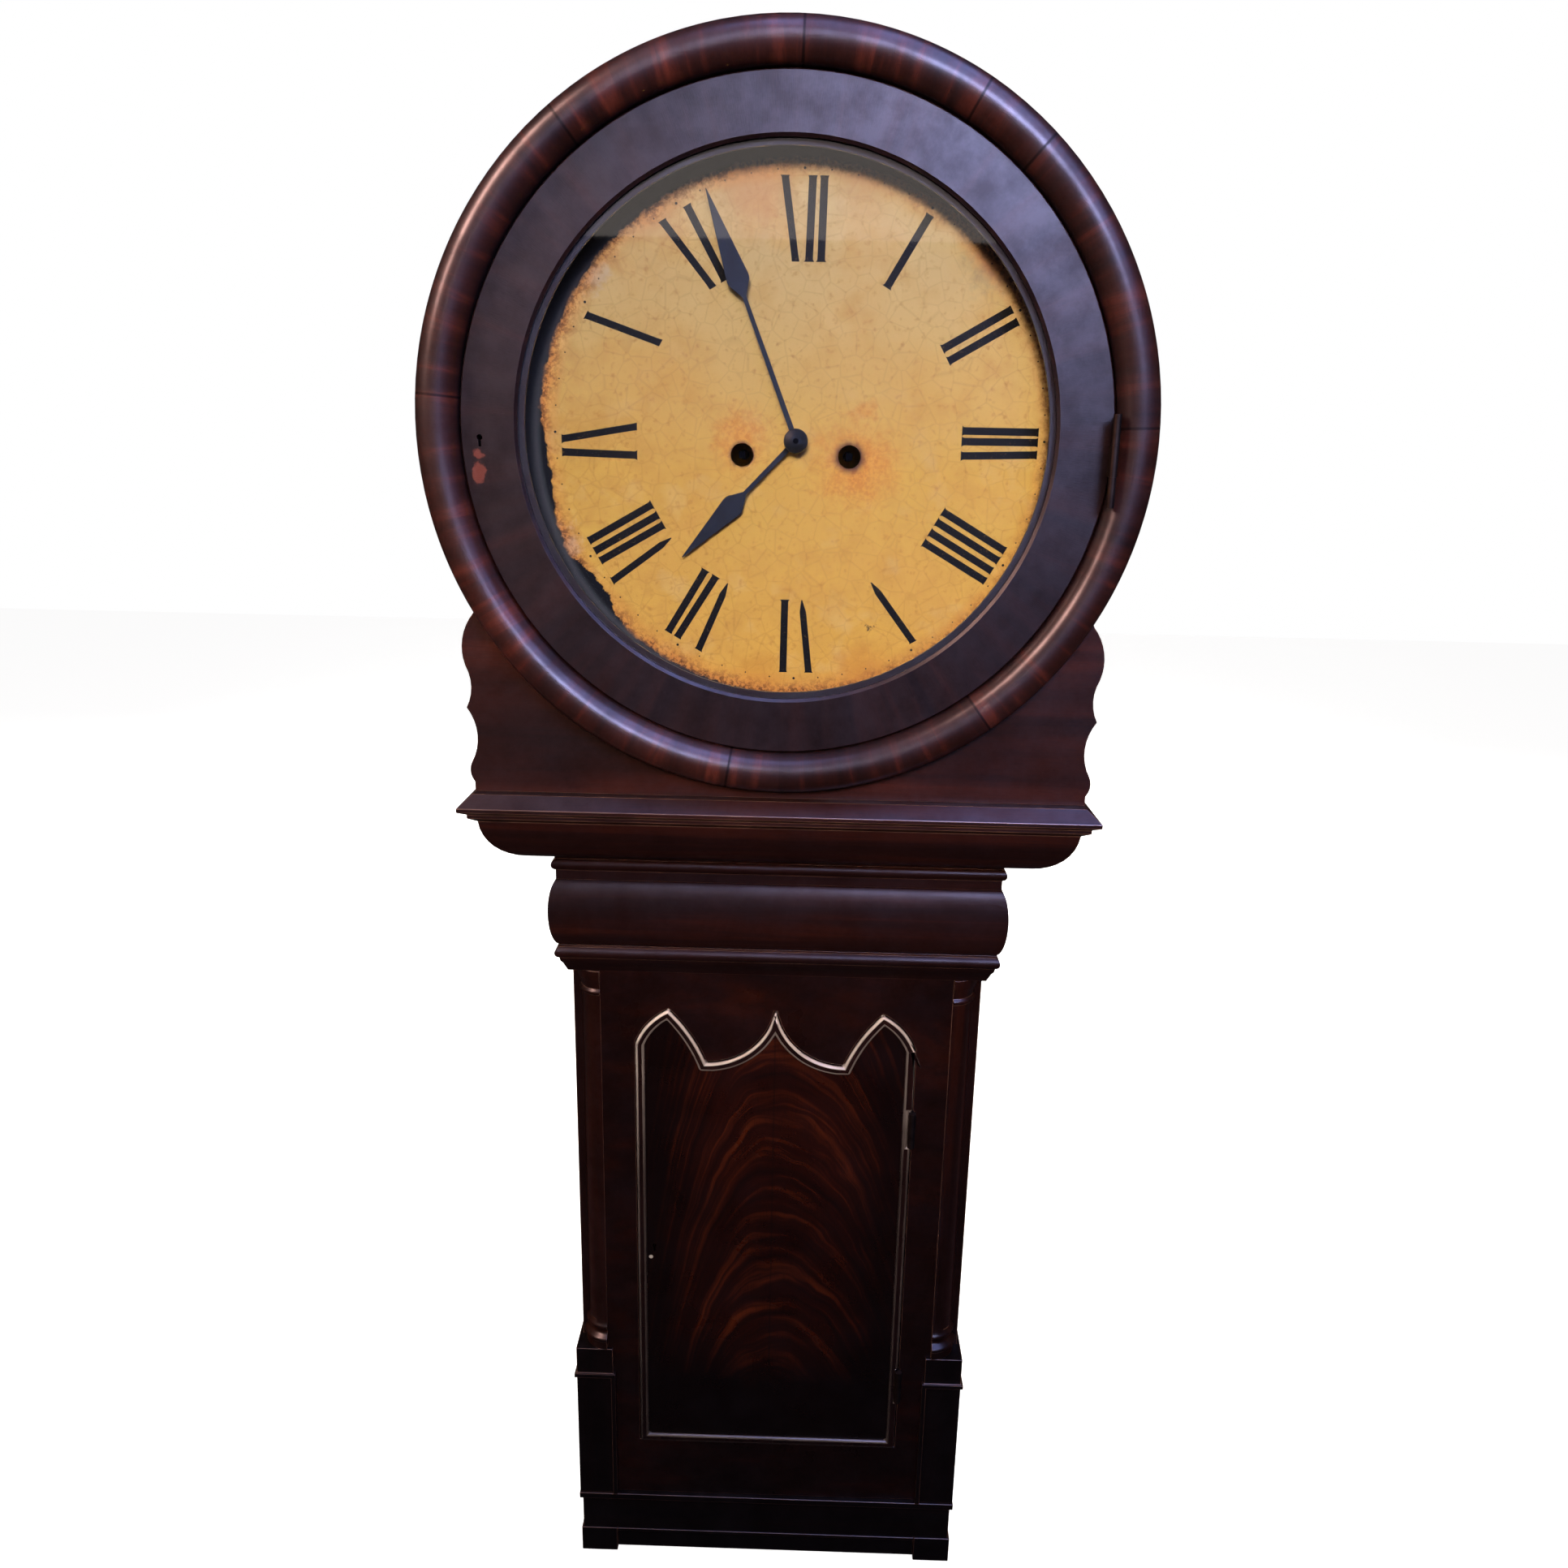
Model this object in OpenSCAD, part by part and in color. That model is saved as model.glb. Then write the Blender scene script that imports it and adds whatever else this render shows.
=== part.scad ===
// Drum-head dial clock: a weight-driven, two-train wall and floor clock in a mahogany case.
// X runs to the right, Y into the wall, Z up. The origin is the bottom centre of the back.
// Depths are measured forward from the back plane; heights are measured from the floor.

/* [Trunk] */
// Width of the trunk
trunk_w = 340; // [326:1:354]
// Depth of the trunk's front frame from the wall
trunk_d = 185; // [178:1:195]
// Thickness of the trunk's side boards
side_t = 10; // [8:0.5:12]
// Thickness of the backboard
back_t = 12; // [9:0.5:14]
// Thickness of the front frame and the trunk door
frame_t = 18; // [16:0.5:20]
// Distance of the corner columns' centres in from the trunk's sides
corner_inset = 25; // [23:0.5:28]
// Radius of the wall screw's hole
wall_hole_r = 4; // [3:0.5:5]
// Height of the wall screw's hole above the drum's centre
wall_hole_rise = 164; // [150:1:190]
// Height of the trunk frame's bottom edge, the top of the base
base_top = 67; // [60:1:75]
// Height of the pedestals' tops
pedestal_top = 226; // [215:1:235]
// Height of the pedestals' bead line
pedestal_line = 198; // [185:1:205]
// Height of the trunk's top, under the throat
trunk_top = 593; // [585:1:605]
// Drop of the top of the trunk's sides below the centre of the dial ring
cheek_drop = 89; // [84:1:96]

/* [Base and feet] */
// How far the base stands proud of the trunk
base_out = 1; // [1:0.5:3]
// How far the pedestals stand proud of the trunk
pedestal_out = 3; // [2:0.5:5]
// How far the pedestals lap over the front frame's edges
pedestal_lap = 5; // [4:0.5:9]
// Thickness of the base boards
base_t = 12; // [10:0.5:14]
// Height of the corner feet
foot_h = 26; // [22:1:32]
// Side of a corner foot
foot_w = 32; // [26:1:38]
// Gap between the skirting and the floor
skirting_lift = 4; // [2:0.5:6]
// Thickness of the skirting
skirting_t = 10; // [8:0.5:12]
// Thickness of the bottom board
bottom_t = 9; // [6:0.5:10]

/* [Corner columns] */
// Radius of the quarter columns' shafts
column_r = 18; // [15:0.5:19]
// Radius of the rings at the capital and the base
column_ring_r = 21.5; // [20:0.5:23]
// Height of the capital
capital_h = 23; // [18:1:28]
// Height of the column's turned base
column_base_h = 27; // [20:1:32]

/* [Throat and cornice] */
// Height of the lower throat moulding
lower_throat_h = 25; // [22:1:30]
// Height of the cushion moulding
cushion_h = 56; // [50:1:62]
// How far the cushion swells beyond its edge
cushion_swell = 8; // [6:0.5:10]
// Height of the upper throat moulding
upper_throat_h = 23; // [20:1:28]
// Height of the cornice
cornice_h = 60; // [56:1:66]
// How far the cornice's edge stands out from the trunk
cornice_out = 66; // [62:1:70]
// Radius of the cornice's quarter round
cornice_r = 42; // [36:1:44]
// Radius of the throat beads
bead_r = 5; // [4:0.5:6]

/* [Hood and drum] */
// Gap between the rounded bezel and the cornice
bezel_lift = 9; // [7:0.5:16]
// How far the hood board stands out from the trunk's face
hood_out = 47; // [43:1:55]
// Thickness of the hood board
hood_t = 16; // [14:0.5:18]
// Half-width of the hood board at its foot
hood_hw = 226; // [222:0.5:228]
// Half-width across the hood's side boards
hood_side_hw = 218; // [214:0.5:220]
// Thickness of the hood's side boards
hood_side_t = 12; // [10:0.5:14]
// How far the drum shell stands back inside the rounded bezel's edge
drum_inset = 15; // [12:0.5:18]
// Thickness of the drum shell
drum_t = 8; // [6:0.5:10]
// How much larger the hood board's opening is than the dial door's
hood_hole_lip = 7; // [5:0.5:12]
// Outer radius of the rounded bezel
bezel_r = 250; // [246:0.5:254]
// Width of the rounded bezel
bezel_w = 28.5; // [26:0.5:31]

/* [Dial door] */
// Width of the dial door's ring
ring_w = 38.5; // [36:0.5:40]
// Running gap between the dial door and the bezel
ring_gap = 1; // [0.8:0.1:1.5]
// Thickness of the dial door's ring
ring_t = 12.5; // [11:0.5:14]
// Thickness of the glass
glass_t = 3; // [2:0.5:3.5]
// Width of the rebate that holds the glass
rebate_w = 6; // [5:0.5:7]
// Height of the dial door's hinge
dial_hinge_h = 60; // [50:1:70]

/* [Trunk door] */
// Half-width of the trunk door
door_hw = 116; // [112:0.5:118]
// Height of the door's bottom edge
door_z0 = 127; // [120:1:135]
// Height at which the door's shoulders curve in
door_shoulder = 529; // [520:1:532]
// Height of the side points
door_tip_z = 560; // [555:1:565]
// Distance of the side points from the middle
door_tip_x = 88.5; // [86:0.5:91]
// Radius of the two hanging lobes between the points
lobe_r = 57.5; // [56:0.5:58.5]
// Height of the lobes' centres
lobe_z = 570; // [566:1:573]
// Gap round the trunk door
door_gap = 0.8; // [0.6:0.1:1.2]
// Width of the bead round the door
door_bead_w = 7.5; // [6:0.5:9]
// How far the door's bead stands proud
door_bead_out = 3; // [2:0.5:4]
// Height of a butt hinge
butt_h = 32; // [28:1:36]
// Height of the lower butt hinge's middle
butt_z1 = 196; // [185:1:205]
// Height of the upper butt hinge's middle
butt_z2 = 456; // [440:1:470]
// Radius of the hinge knuckles
knuckle_r = 3; // [2.8:0.1:3.5]
// Radius of the hinge pins
hinge_pin_r = 1.5; // [1.2:0.1:1.8]
// Thickness of the hinge leaves
leaf_t = 1.4; // [1.2:0.1:1.6]
// Width of a butt hinge's leaf
leaf_w = 15; // [12:0.5:16]
// Radius of the dial hinge's knuckles
dial_knuckle_r = 2.6; // [2.4:0.1:3]
// Radius of the dial hinge's pin
dial_pin_r = 1.3; // [1.1:0.1:1.5]

/* [Dial and hands] */
// Offset of the dial to the right of the drum's centre
dial_dx = 6.5; // [0:0.5:8]
// Offset of the dial above the drum's centre
dial_dz = -4; // [-6:0.5:0]
// Reach of the dial's bare margin past the sight edge of the ring
dial_margin = 11; // [8:0.5:14]
// Thickness of the dial sheet
dial_t = 2; // [1.5:0.1:2.5]
// How far the dial lies behind the hood board's face
dial_set = 27; // [24:0.5:30]
// Distance of the winding holes from the dial's middle line
wind_dx = 38; // [38:0.5:39]
// Drop of the winding holes below the hands' centre
wind_dz = 10; // [8:0.5:12]
// Radius of the winding holes
wind_hole_r = 8; // [7.5:0.1:9]
// Distance from the minute hand's tip to the dial's edge
minute_short = 21; // [18:0.5:30]
// Length of the hour hand from its centre
hour_len = 114.5; // [105:0.5:118]
// Angle of the minute hand from twelve, clockwise
minute_deg = -21.6; // [-90:0.1:90]
// Angle of the hour hand from twelve, clockwise
hour_deg = 224.3; // [180:0.1:270]
// Thickness of the hands
hand_t = 1.2; // [1:0.1:1.6]

/* [Movement] */
// Width of the movement's plates
plate_w = 150; // [146:1:160]
// Height of the movement's plates
plate_h = 167; // [164:1:175]
// Thickness of the movement's plates
plate_t = 3.5; // [3:0.1:4]
// Distance between the movement's plates
plate_gap = 58; // [57:0.5:60]
// Distance from the dial to the front plate
motion_gap = 36; // [35:0.5:38]
// Thickness of the seatboard
seat_t = 18; // [15:0.5:20]
// Radius of the centre arbor
centre_arbor_r = 2; // [1.8:0.1:2.2]
// Running clearance of arbors and pipes
run_clear = 0.05; // [0.03:0.01:0.08]
// Radius of the line barrels
barrel_r = 22; // [20:0.5:22.5]
// Length of the line barrels
barrel_len = 33; // [30:0.5:34]
// Radius of the bell
bell_r = 48; // [42:1:52]

/* [Pendulum] */
// Length of the pendulum from its pivot to the bob's centre
pendulum_len = 994; // [985:1:996]
// Radius of the bob
bob_r = 52; // [45:1:54]
// Thickness of the bob
bob_t = 26; // [22:0.5:28]
// Radius of the pendulum rod
rod_r = 3; // [2.5:0.1:3.5]
// Distance of the pendulum behind the back plate
pendulum_gap = 24; // [22:0.5:28]

/* [Weights] */
// Radius of a driving weight
weight_r = 27; // [24:0.5:27.5]
// Height of a driving weight
weight_h = 170; // [150:1:180]
// Height of the weights' undersides with the clock run down
weight_z0 = 60; // [52:1:80]
// Radius of a weight pulley's groove
pulley_r = 22; // [20:0.5:22.5]
// Thickness of a pulley
pulley_t = 8; // [7:0.5:9]
// Radius of the gut line
line_r = 0.7; // [0.5:0.1:0.9]

/* [Hidden] */
$fn = 128;
far = 400;

trunk_hw = trunk_w / 2;
inner_hw = trunk_hw - side_t;
frame_hw = trunk_hw - corner_inset;
throat_z1 = trunk_top + lower_throat_h;
throat_z2 = throat_z1 + cushion_h;
throat_z3 = throat_z2 + upper_throat_h;
hood_z0 = throat_z3 + cornice_h;
hood_in_hw = hood_side_hw - hood_side_t;
hood_floor = throat_z3 + 20;
ring_z = hood_z0 + bezel_lift + bezel_r;
cheek_top = ring_z - cheek_drop;
hood_d = trunk_d + hood_out;
drum_r = bezel_r - drum_inset;
pedestal_hw = frame_hw - pedestal_lap;
recess_d = trunk_d - frame_t;
corner_post = 20;
door_tip_cut = 10;
door_point_relief = 9;
lobe_lap = 3;
door_shoulder_bow = 4;
door_tip_bow = 3;
base_d = trunk_d + base_out + 1;
base_hw = trunk_hw + base_out;
pedestal_d = trunk_d + pedestal_out;
bezel_in = bezel_r - bezel_w;
ring_out = bezel_in - ring_gap;
ring_in = ring_out - ring_w;
hood_hole_r = ring_in + hood_hole_lip;
ring_d0 = hood_d + 0.5;
ring_d1 = ring_d0 + ring_t;
bezel_crest = ring_d1 + bezel_w / 2;

// Movement centre and its arbors, all worked out from the dial's centre
mx = dial_dx;
mz = ring_z + dial_dz;
dial_r = ring_in + dial_margin;
dial_d = hood_d - dial_set;
dial_back = dial_d - dial_t;
minute_len = dial_r - minute_short;
front_plate_d1 = dial_back - motion_gap;
front_plate_d0 = front_plate_d1 - plate_t;
back_plate_d1 = front_plate_d0 - plate_gap;
back_plate_d0 = back_plate_d1 - plate_t;
pendulum_d = back_plate_d0 - pendulum_gap;
seat_top = cheek_top + seat_t;
barrel_d0 = back_plate_d1 + 15.5;
barrel_d1 = barrel_d0 + barrel_len;
line_d = (barrel_d0 + barrel_d1) / 2;
barrel_z = mz - wind_dz;
great_dist = norm([wind_dx, wind_dz]);
great_n = 96;
centre_pinion_n = 8;
great_m = 2 * great_dist / (great_n + centre_pinion_n);
centre_n = 60;
third_pinion_n = 8;
centre_m = 1;
third_dist = centre_m * (centre_n + third_pinion_n) / 2;
third_n = 56;
escape_pinion_n = 7;
third_m = 0.889;
escape_dist = third_m * (third_n + escape_pinion_n) / 2;
escape_rise = 61;
third_rise = (third_dist ^ 2 - escape_dist ^ 2 + escape_rise ^ 2) / (2 * escape_rise);
third_x = mx + sqrt(third_dist ^ 2 - third_rise ^ 2);
third_z = mz + third_rise;
escape_z = mz + escape_rise;
escape_r = 17;
escape_root_r = 14.5;
escape_d = barrel_d0 + 20;
pallet_out_r = 25.8;
pallet_clear = 1.3;
cock_d0 = back_plate_d0 - 16;
square_half = 2.3;
square_d1 = dial_d - 4;
centre_hole_r = 7;
bell_gap = 9.5;
hammer_stroke = 3;
hammer_head = 17;
pallet_dist = 24;
pivot_z = escape_z + pallet_dist;
motion_dist = 24;
minute_arbor_z = mz - motion_dist;
bob_z = pivot_z - pendulum_len;
pulley_z = weight_z0 + weight_h + 50;
fall_x = barrel_r + line_r + 0.3;
axle_r = 2;
strike_n = 78;
strike_m = 0.75;
hammer_rise = 84;
hammer_z = mz + hammer_rise;
hammer_x = mx + bell_r + bell_gap;
bell_rise = 117;
bell_z = mz + bell_rise;
crutch_len = 112;
swell_r = 7.8;
minute_point = 59;
hour_point = 51;
bell_h = 38;
bell_d = (back_plate_d1 + front_plate_d0) / 2;
butt_x = door_hw + door_gap / 2;
butt_d = trunk_d + knuckle_r + 0.5;
dial_hinge_x = ring_out - 2.5;
dial_hinge_z = ring_z - 13;
dial_hinge_d = bezel_crest;
dial_leaf_gap = 1.1;
lock_h = 28;
lock_w = 20;
lock_t = 7;
bolt_len = 15;
lock_z = ring_z - 6;
lock_x1 = -(ring_out - 4);
key_x = lock_x1 + 9;
bolt_h = 6;
bolt_d0 = ring_d0 + 2;
bolt_d1 = bolt_d0 + 3;
trunk_lock_z = (door_z0 + door_tip_z) / 2 - 10;
trunk_lock_w = 32;
trunk_lock_h = 40;
trunk_lock_d0 = recess_d - 10;
trunk_bolt_d0 = trunk_lock_d0 + 3;
trunk_bolt_t = 4;
trunk_bolt_h = 10;
trunk_bolt_len = 22;
bolt_slack = 0.2;
bead_seat = 4;
glass_d = ring_d0 + 5;
trunk_lock_x0 = -(door_hw - 2);
trunk_key_x = trunk_lock_x0 + 12;
pivot_r = 1.2;
barrel_arbor_r = 3.5;
cannon_r = 3.2;
hour_pipe_r = 4.8;
hour_hand_d = dial_d + 6;
minute_hand_d = hour_hand_d + 4;
nut_h = 5;

// Directions of the lines between meshing arbors, to which the teeth are set
great_angle = atan2(wind_dz, -wind_dx);
centre_turn = atan2(third_rise, third_x - mx);
third_turn = atan2(escape_z - third_z, mx - third_x);
pressure_deg = 20;
wheel_add = 0.45;
pinion_add = 0.8;
root_gap = 0.3;
backlash = 0.12;

// A solid drawn in the front view and carried forward from depth d0 to depth d1
module slab(d0, d1) {
    translate([0, -d0, 0]) rotate([90, 0, 0]) linear_extrude(d1 - d0) children();
}
// A solid of revolution about a line along Y through x, z; its profile is radius by depth
module turned_y(x, z, d0) {
    translate([x, -d0, z]) rotate([90, 0, 0]) rotate_extrude($fn = 96) children();
}
module block(x0, x1, d0, d1, z0, z1) {
    translate([x0, -d1, z0]) cube([x1 - x0, d1 - d0, z1 - z0]);
}
module disc_y(x, z, d0, d1, r) {
    translate([x, -d0, z]) rotate([90, 0, 0]) cylinder(h = d1 - d0, r = r);
}
module post_z(x, d, z0, z1, r) {
    translate([x, -d, z0]) cylinder(h = z1 - z0, r = r);
}
module both_sides() {
    children();
    mirror([1, 0, 0]) children();
}

// Points on a shallow bow from p to q whose middle stands s to the left of the way
function bow(p, q, s, n) = let(
    c = norm(q - p),
    r = (c ^ 2 / 4 + s ^ 2) / (2 * abs(s)),
    half = asin(c / 2 / r),
    u = (q - p) / c,
    v = [-u[1], u[0]] * sign(s),
    m = (p + q) / 2 - v * (r - abs(s)))
    [for (i = [1 : n]) let(a = -half + 2 * half * i / n) m + r * (sin(a) * u + cos(a) * v)];
function arc(c, r, a0, a1, n) = [for (i = [0 : n]) let(a = a0 + (a1 - a0) * i / n)
    c + r * [cos(a), sin(a)]];
function flip(points) = [for (i = [len(points) - 1 : -1 : 0]) [-points[i][0], points[i][1]]];

// A moulding mitred round the front and both sides; points give projection by height
module mitred(points, core_hw, core_d) {
    z0 = points[0][1];
    z1 = points[len(points) - 1][1];
    right = [for (p = points) [trunk_hw + p[0], p[1]]];
    front = [for (p = points) [-trunk_d - p[0], p[1]]];
    difference() {
        intersection() {
            slab(0, far) polygon(concat(right, flip(right)));
            translate([-far, 0, 0]) rotate([90, 0, 90]) linear_extrude(2 * far)
                polygon(concat([[0, z0]], front, [[0, z1]]));
        }
        block(-core_hw, core_hw, -1, core_d, z0 - 1, z1 + 1);
    }
}

// Involute teeth drawn by straight facets
function inv(a) = tan(a) * 180 / PI - a;
function gear_points(n, m, add, ded) = let(
    r = n * m / 2,
    rb = r * cos(pressure_deg),
    root = r - ded * m,
    half = 90 / n * (1 - backlash),
    radii = [for (q = [root, rb, r, r + add * m]) if (q == root || q > root + 0.01) q],
    turn = [for (q = radii) half + inv(pressure_deg) - (q <= rb ? 0 : inv(acos(rb / q)))])
    [for (i = [0 : n - 1]) for (k = [0 : 2 * len(radii) - 1])
        let(j = k < len(radii) ? k : 2 * len(radii) - 1 - k,
            a = 360 / n * i + (k < len(radii) ? -turn[j] : turn[j]))
        radii[j] * [cos(a), sin(a)]];
module wheel_2d(n, m) {
    polygon(gear_points(n, m, wheel_add, pinion_add + root_gap));
}
module pinion_2d(n, m) {
    polygon(gear_points(n, m, pinion_add, wheel_add + root_gap));
}
// Four crossings cut out between a wheel's rim and its hub
module crossings_2d(r_out, r_in, arm) {
    difference() {
        circle(r_out);
        circle(r_in);
        square([2 * r_out, arm], center = true);
        square([arm, 2 * r_out], center = true);
    }
}
module crossed_wheel(x, z, d0, d1, n, m, turn, r_in, arm) {
    slab(d0, d1) translate([x, z]) difference() {
        rotate(turn) wheel_2d(n, m);
        crossings_2d(n * m / 2 - 3.2 * m, r_in, arm);
    }
}

module backboard() {
    color("#4a2a1c") difference() {
        union() {
            block(-inner_hw, inner_hw, 0, back_t, 0, ring_z);
            block(-(hood_in_hw - 1), hood_in_hw - 1, 0, back_t, hood_floor, ring_z);
            disc_y(0, ring_z, 0, back_t, drum_r - drum_t - 0.5);
        }
        disc_y(0, ring_z + wall_hole_rise, -1, back_t + 1, wall_hole_r);
        both_sides() block(inner_hw, trunk_hw, -1, back_t + 1, hood_floor - 1, cheek_top);
    }
}

module trunk_side() {
    union() {
        block(inner_hw, trunk_hw, 0, recess_d, base_top, cheek_top);
        block(frame_hw, inner_hw, recess_d - corner_post, recess_d, base_top, throat_z3);
    }
}
module trunk_sides() {
    color("#3a1a12") both_sides() trunk_side();
}

// The trunk door's outline, drawn in by d all round
module door_2d(d) {
    cusp = [lobe_r, lobe_z - lobe_r];
    tip = [door_tip_x, door_tip_z];
    shoulder = [door_hw, door_shoulder];
    side_top = cusp[1] - d;
    valley_top = side_top + 0.3;
    translate([-(door_hw - d), door_z0 + d])
        square([2 * (door_hw - d), side_top - 2 - (door_z0 + d)]);
    difference() {
        translate([-lobe_r - lobe_lap, door_z0 + d])
            square([2 * (lobe_r + lobe_lap), lobe_z - door_tip_cut - door_z0 - 2 * d]);
        for (x = [-lobe_r, lobe_r]) translate([x, lobe_z]) circle(lobe_r + d);
    }
    for (s = [0, 1]) mirror([s, 0]) {
        intersection() {
            lancet_disc(shoulder, tip, door_shoulder_bow, d);
            lancet_disc(tip, cusp, door_tip_bow, d);
            translate([lobe_r / 2, cusp[1] - 60]) square([door_hw - d - lobe_r / 2, 200]);
        }
        if (d > 0) translate([lobe_r - 10, valley_top - 10])
            square([10 + lancet_x(tip, cusp, door_tip_bow, d, valley_top) - lobe_r, 10]);
    }
}
// A disc whose edge runs from p to q, bowed outward by s and drawn in by d
function lancet_r(p, q, s) = (norm(q - p) ^ 2 / 4 + s ^ 2) / (2 * s);
function lancet_centre(p, q, s) = let(u = (q - p) / norm(q - p))
    (p + q) / 2 - [u[1], -u[0]] * (lancet_r(p, q, s) - s);
function lancet_x(p, q, s, d, y) = let(c = lancet_centre(p, q, s))
    c[0] - sqrt((lancet_r(p, q, s) - d) ^ 2 - (y - c[1]) ^ 2);
module lancet_disc(p, q, s, d) {
    translate(lancet_centre(p, q, s)) circle(lancet_r(p, q, s) - d, $fn = 96);
}
module door_mortises(out, slack) {
    for (z = [butt_z1, butt_z2])
        block(min(butt_x, butt_x + out * (leaf_t + 0.2)), max(butt_x, butt_x + out * (leaf_t + 0.2)),
            trunk_d - leaf_w, trunk_d + 1, z - butt_h / 2 - slack, z + butt_h / 2 + slack);
}

module trunk_front_frame() {
    color("#3a1a12") difference() {
        union() {
            block(-frame_hw, frame_hw, recess_d, trunk_d, base_top, trunk_top);
            block(-trunk_hw, trunk_hw, recess_d, trunk_d, trunk_top, throat_z3);
        }
        slab(recess_d - 1, trunk_d + 1) door_2d(-door_gap);
        door_mortises(1, 0);
    }
}

// A quarter column stands in each front corner
module quarter_column() {
    shaft_z0 = pedestal_top + column_base_h;
    shaft_z1 = trunk_top - capital_h;
    intersection() {
        translate([frame_hw, -recess_d, 0]) rotate_extrude($fn = 96) polygon(concat(
            [[0, pedestal_top], [column_ring_r, pedestal_top], [column_ring_r, pedestal_top + 6]],
            arc([column_ring_r - 1, pedestal_top + 9.5], 2.5, -60, 60, 4),
            arc([column_ring_r - 1, pedestal_top + 16], 3.2, 240, 120, 4),
            arc([column_r + 1, pedestal_top + 22], 2, -60, 60, 4),
            [[column_r, shaft_z0], [column_r - 0.5, shaft_z1]],
            arc([column_r, shaft_z1 + 3], 2, -60, 60, 4),
            [[column_r, shaft_z1 + 6], [column_r + 1.5, shaft_z1 + 12]],
            [[column_ring_r - 0.5, shaft_z1 + 16], [column_ring_r - 0.5, trunk_top],
                [0, trunk_top]]));
        block(frame_hw, trunk_hw + 5, recess_d, trunk_d + 5, pedestal_top, trunk_top);
    }
}
module quarter_columns() {
    color("#4a2116") both_sides() quarter_column();
}

// A pedestal fills the corner under each column and lines the side behind it
module pedestal() {
    out_hw = trunk_hw + pedestal_out;
    edge = 2;
    difference() {
        union() {
            block(pedestal_hw, out_hw, 0, pedestal_d, base_top, pedestal_top);
            block(pedestal_hw, out_hw + edge, 0, pedestal_d + edge,
                pedestal_line - edge, pedestal_line + edge);
            block(pedestal_hw - edge, pedestal_hw + edge, trunk_d, pedestal_d + edge,
                base_top, pedestal_line + edge);
        }
        block(-1, frame_hw, -1, trunk_d, base_top - 1, pedestal_top + 1);
        block(-1, trunk_hw, -1, recess_d, base_top - 1, pedestal_top + 1);
    }
}
module pedestals() {
    color("#2a120d") both_sides() pedestal();
}

module base_box() {
    lip = 2.5;
    color("#2a120d") difference() {
        union() {
            block(-base_hw, base_hw, 0, base_d, foot_h, base_top);
            block(-base_hw - lip, base_hw + lip, 0, base_d + lip, base_top - 6, base_top);
        }
        block(-inner_hw, inner_hw, -1, base_d - base_t, foot_h - 1, base_top + 1);
    }
}
module skirting_board() {
    edge_h = 3;
    side_run = base_hw - 0.5;
    color("#2a120d") difference() {
        union() {
            block(-side_run, side_run, 0, base_d - 0.5, skirting_lift, foot_h);
            block(-(base_hw - foot_w), base_hw - foot_w, base_d - 1, base_d + 1.5,
                foot_h - edge_h, foot_h);
        }
        block(-(side_run - skirting_t), side_run - skirting_t, -1, base_d - 0.5 - skirting_t,
            skirting_lift - 1, foot_h + 1);
        foot_places(0);
    }
}
module foot_places(shrink) {
    both_sides() {
        block(base_hw - foot_w + shrink, base_hw + 1.5, base_d - foot_w + shrink, base_d + 1.5,
            0, foot_h);
        difference() {
            block(base_hw - foot_w + shrink, base_hw + 1.5, 0, foot_w - shrink, 0, foot_h);
            block(-1, inner_hw + 0.01, -1, back_t, -1, foot_h + 1);
        }
    }
}
module feet() {
    color("#22100b") foot_places(0.2);
}
module bottom_board() {
    color("#4a2a1c")
        block(-inner_hw, inner_hw, back_t, base_d - base_t, foot_h, foot_h + bottom_t);
}

module lower_throat_moulding() {
    z0 = trunk_top;
    color("#3a1a12") mitred(concat(
        [[0.5, z0], [4, z0 + 8], [5.5, z0 + 10]],
        arc([4.5, z0 + 18], bead_r, -70, 70, 8),
        [[6.8, throat_z1 - 1.5], [6.8, throat_z1]]), trunk_hw, trunk_d);
}
module cushion_moulding() {
    mid = throat_z1 + cushion_h / 2;
    color("#3a1a12") mitred([for (i = [0 : 20]) let(a = -90 + 9 * i)
        [5 + cushion_swell * cos(a), mid + cushion_h / 2 * sin(a)]], trunk_hw, trunk_d);
}
module upper_throat_moulding() {
    z0 = throat_z2;
    color("#3a1a12") mitred(concat(
        [[6.7, z0], [6.7, z0 + 7]],
        arc([5, z0 + 12.5], bead_r, -70, 70, 8),
        [[7, z0 + 18], [8.5, throat_z3]]), trunk_hw, trunk_d);
}
module cornice_moulding() {
    z0 = throat_z3;
    zc = z0 + cornice_r;
    in_out = cornice_out - 54;
    color("#3a1a12") difference() {
        mitred(concat(
            [[in_out, z0]],
            arc([in_out, zc], cornice_r, -80, -5, 9),
            [[cornice_out - 6, zc], [cornice_out - 6, zc + 3], [cornice_out, zc + 6],
                [cornice_out, zc + 9], [hood_hw - trunk_hw, hood_z0]]),
            trunk_hw, trunk_d);
        block(-hood_in_hw, hood_in_hw, -1, hood_d - hood_t, hood_floor, hood_z0 + 1);
    }
}

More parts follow.
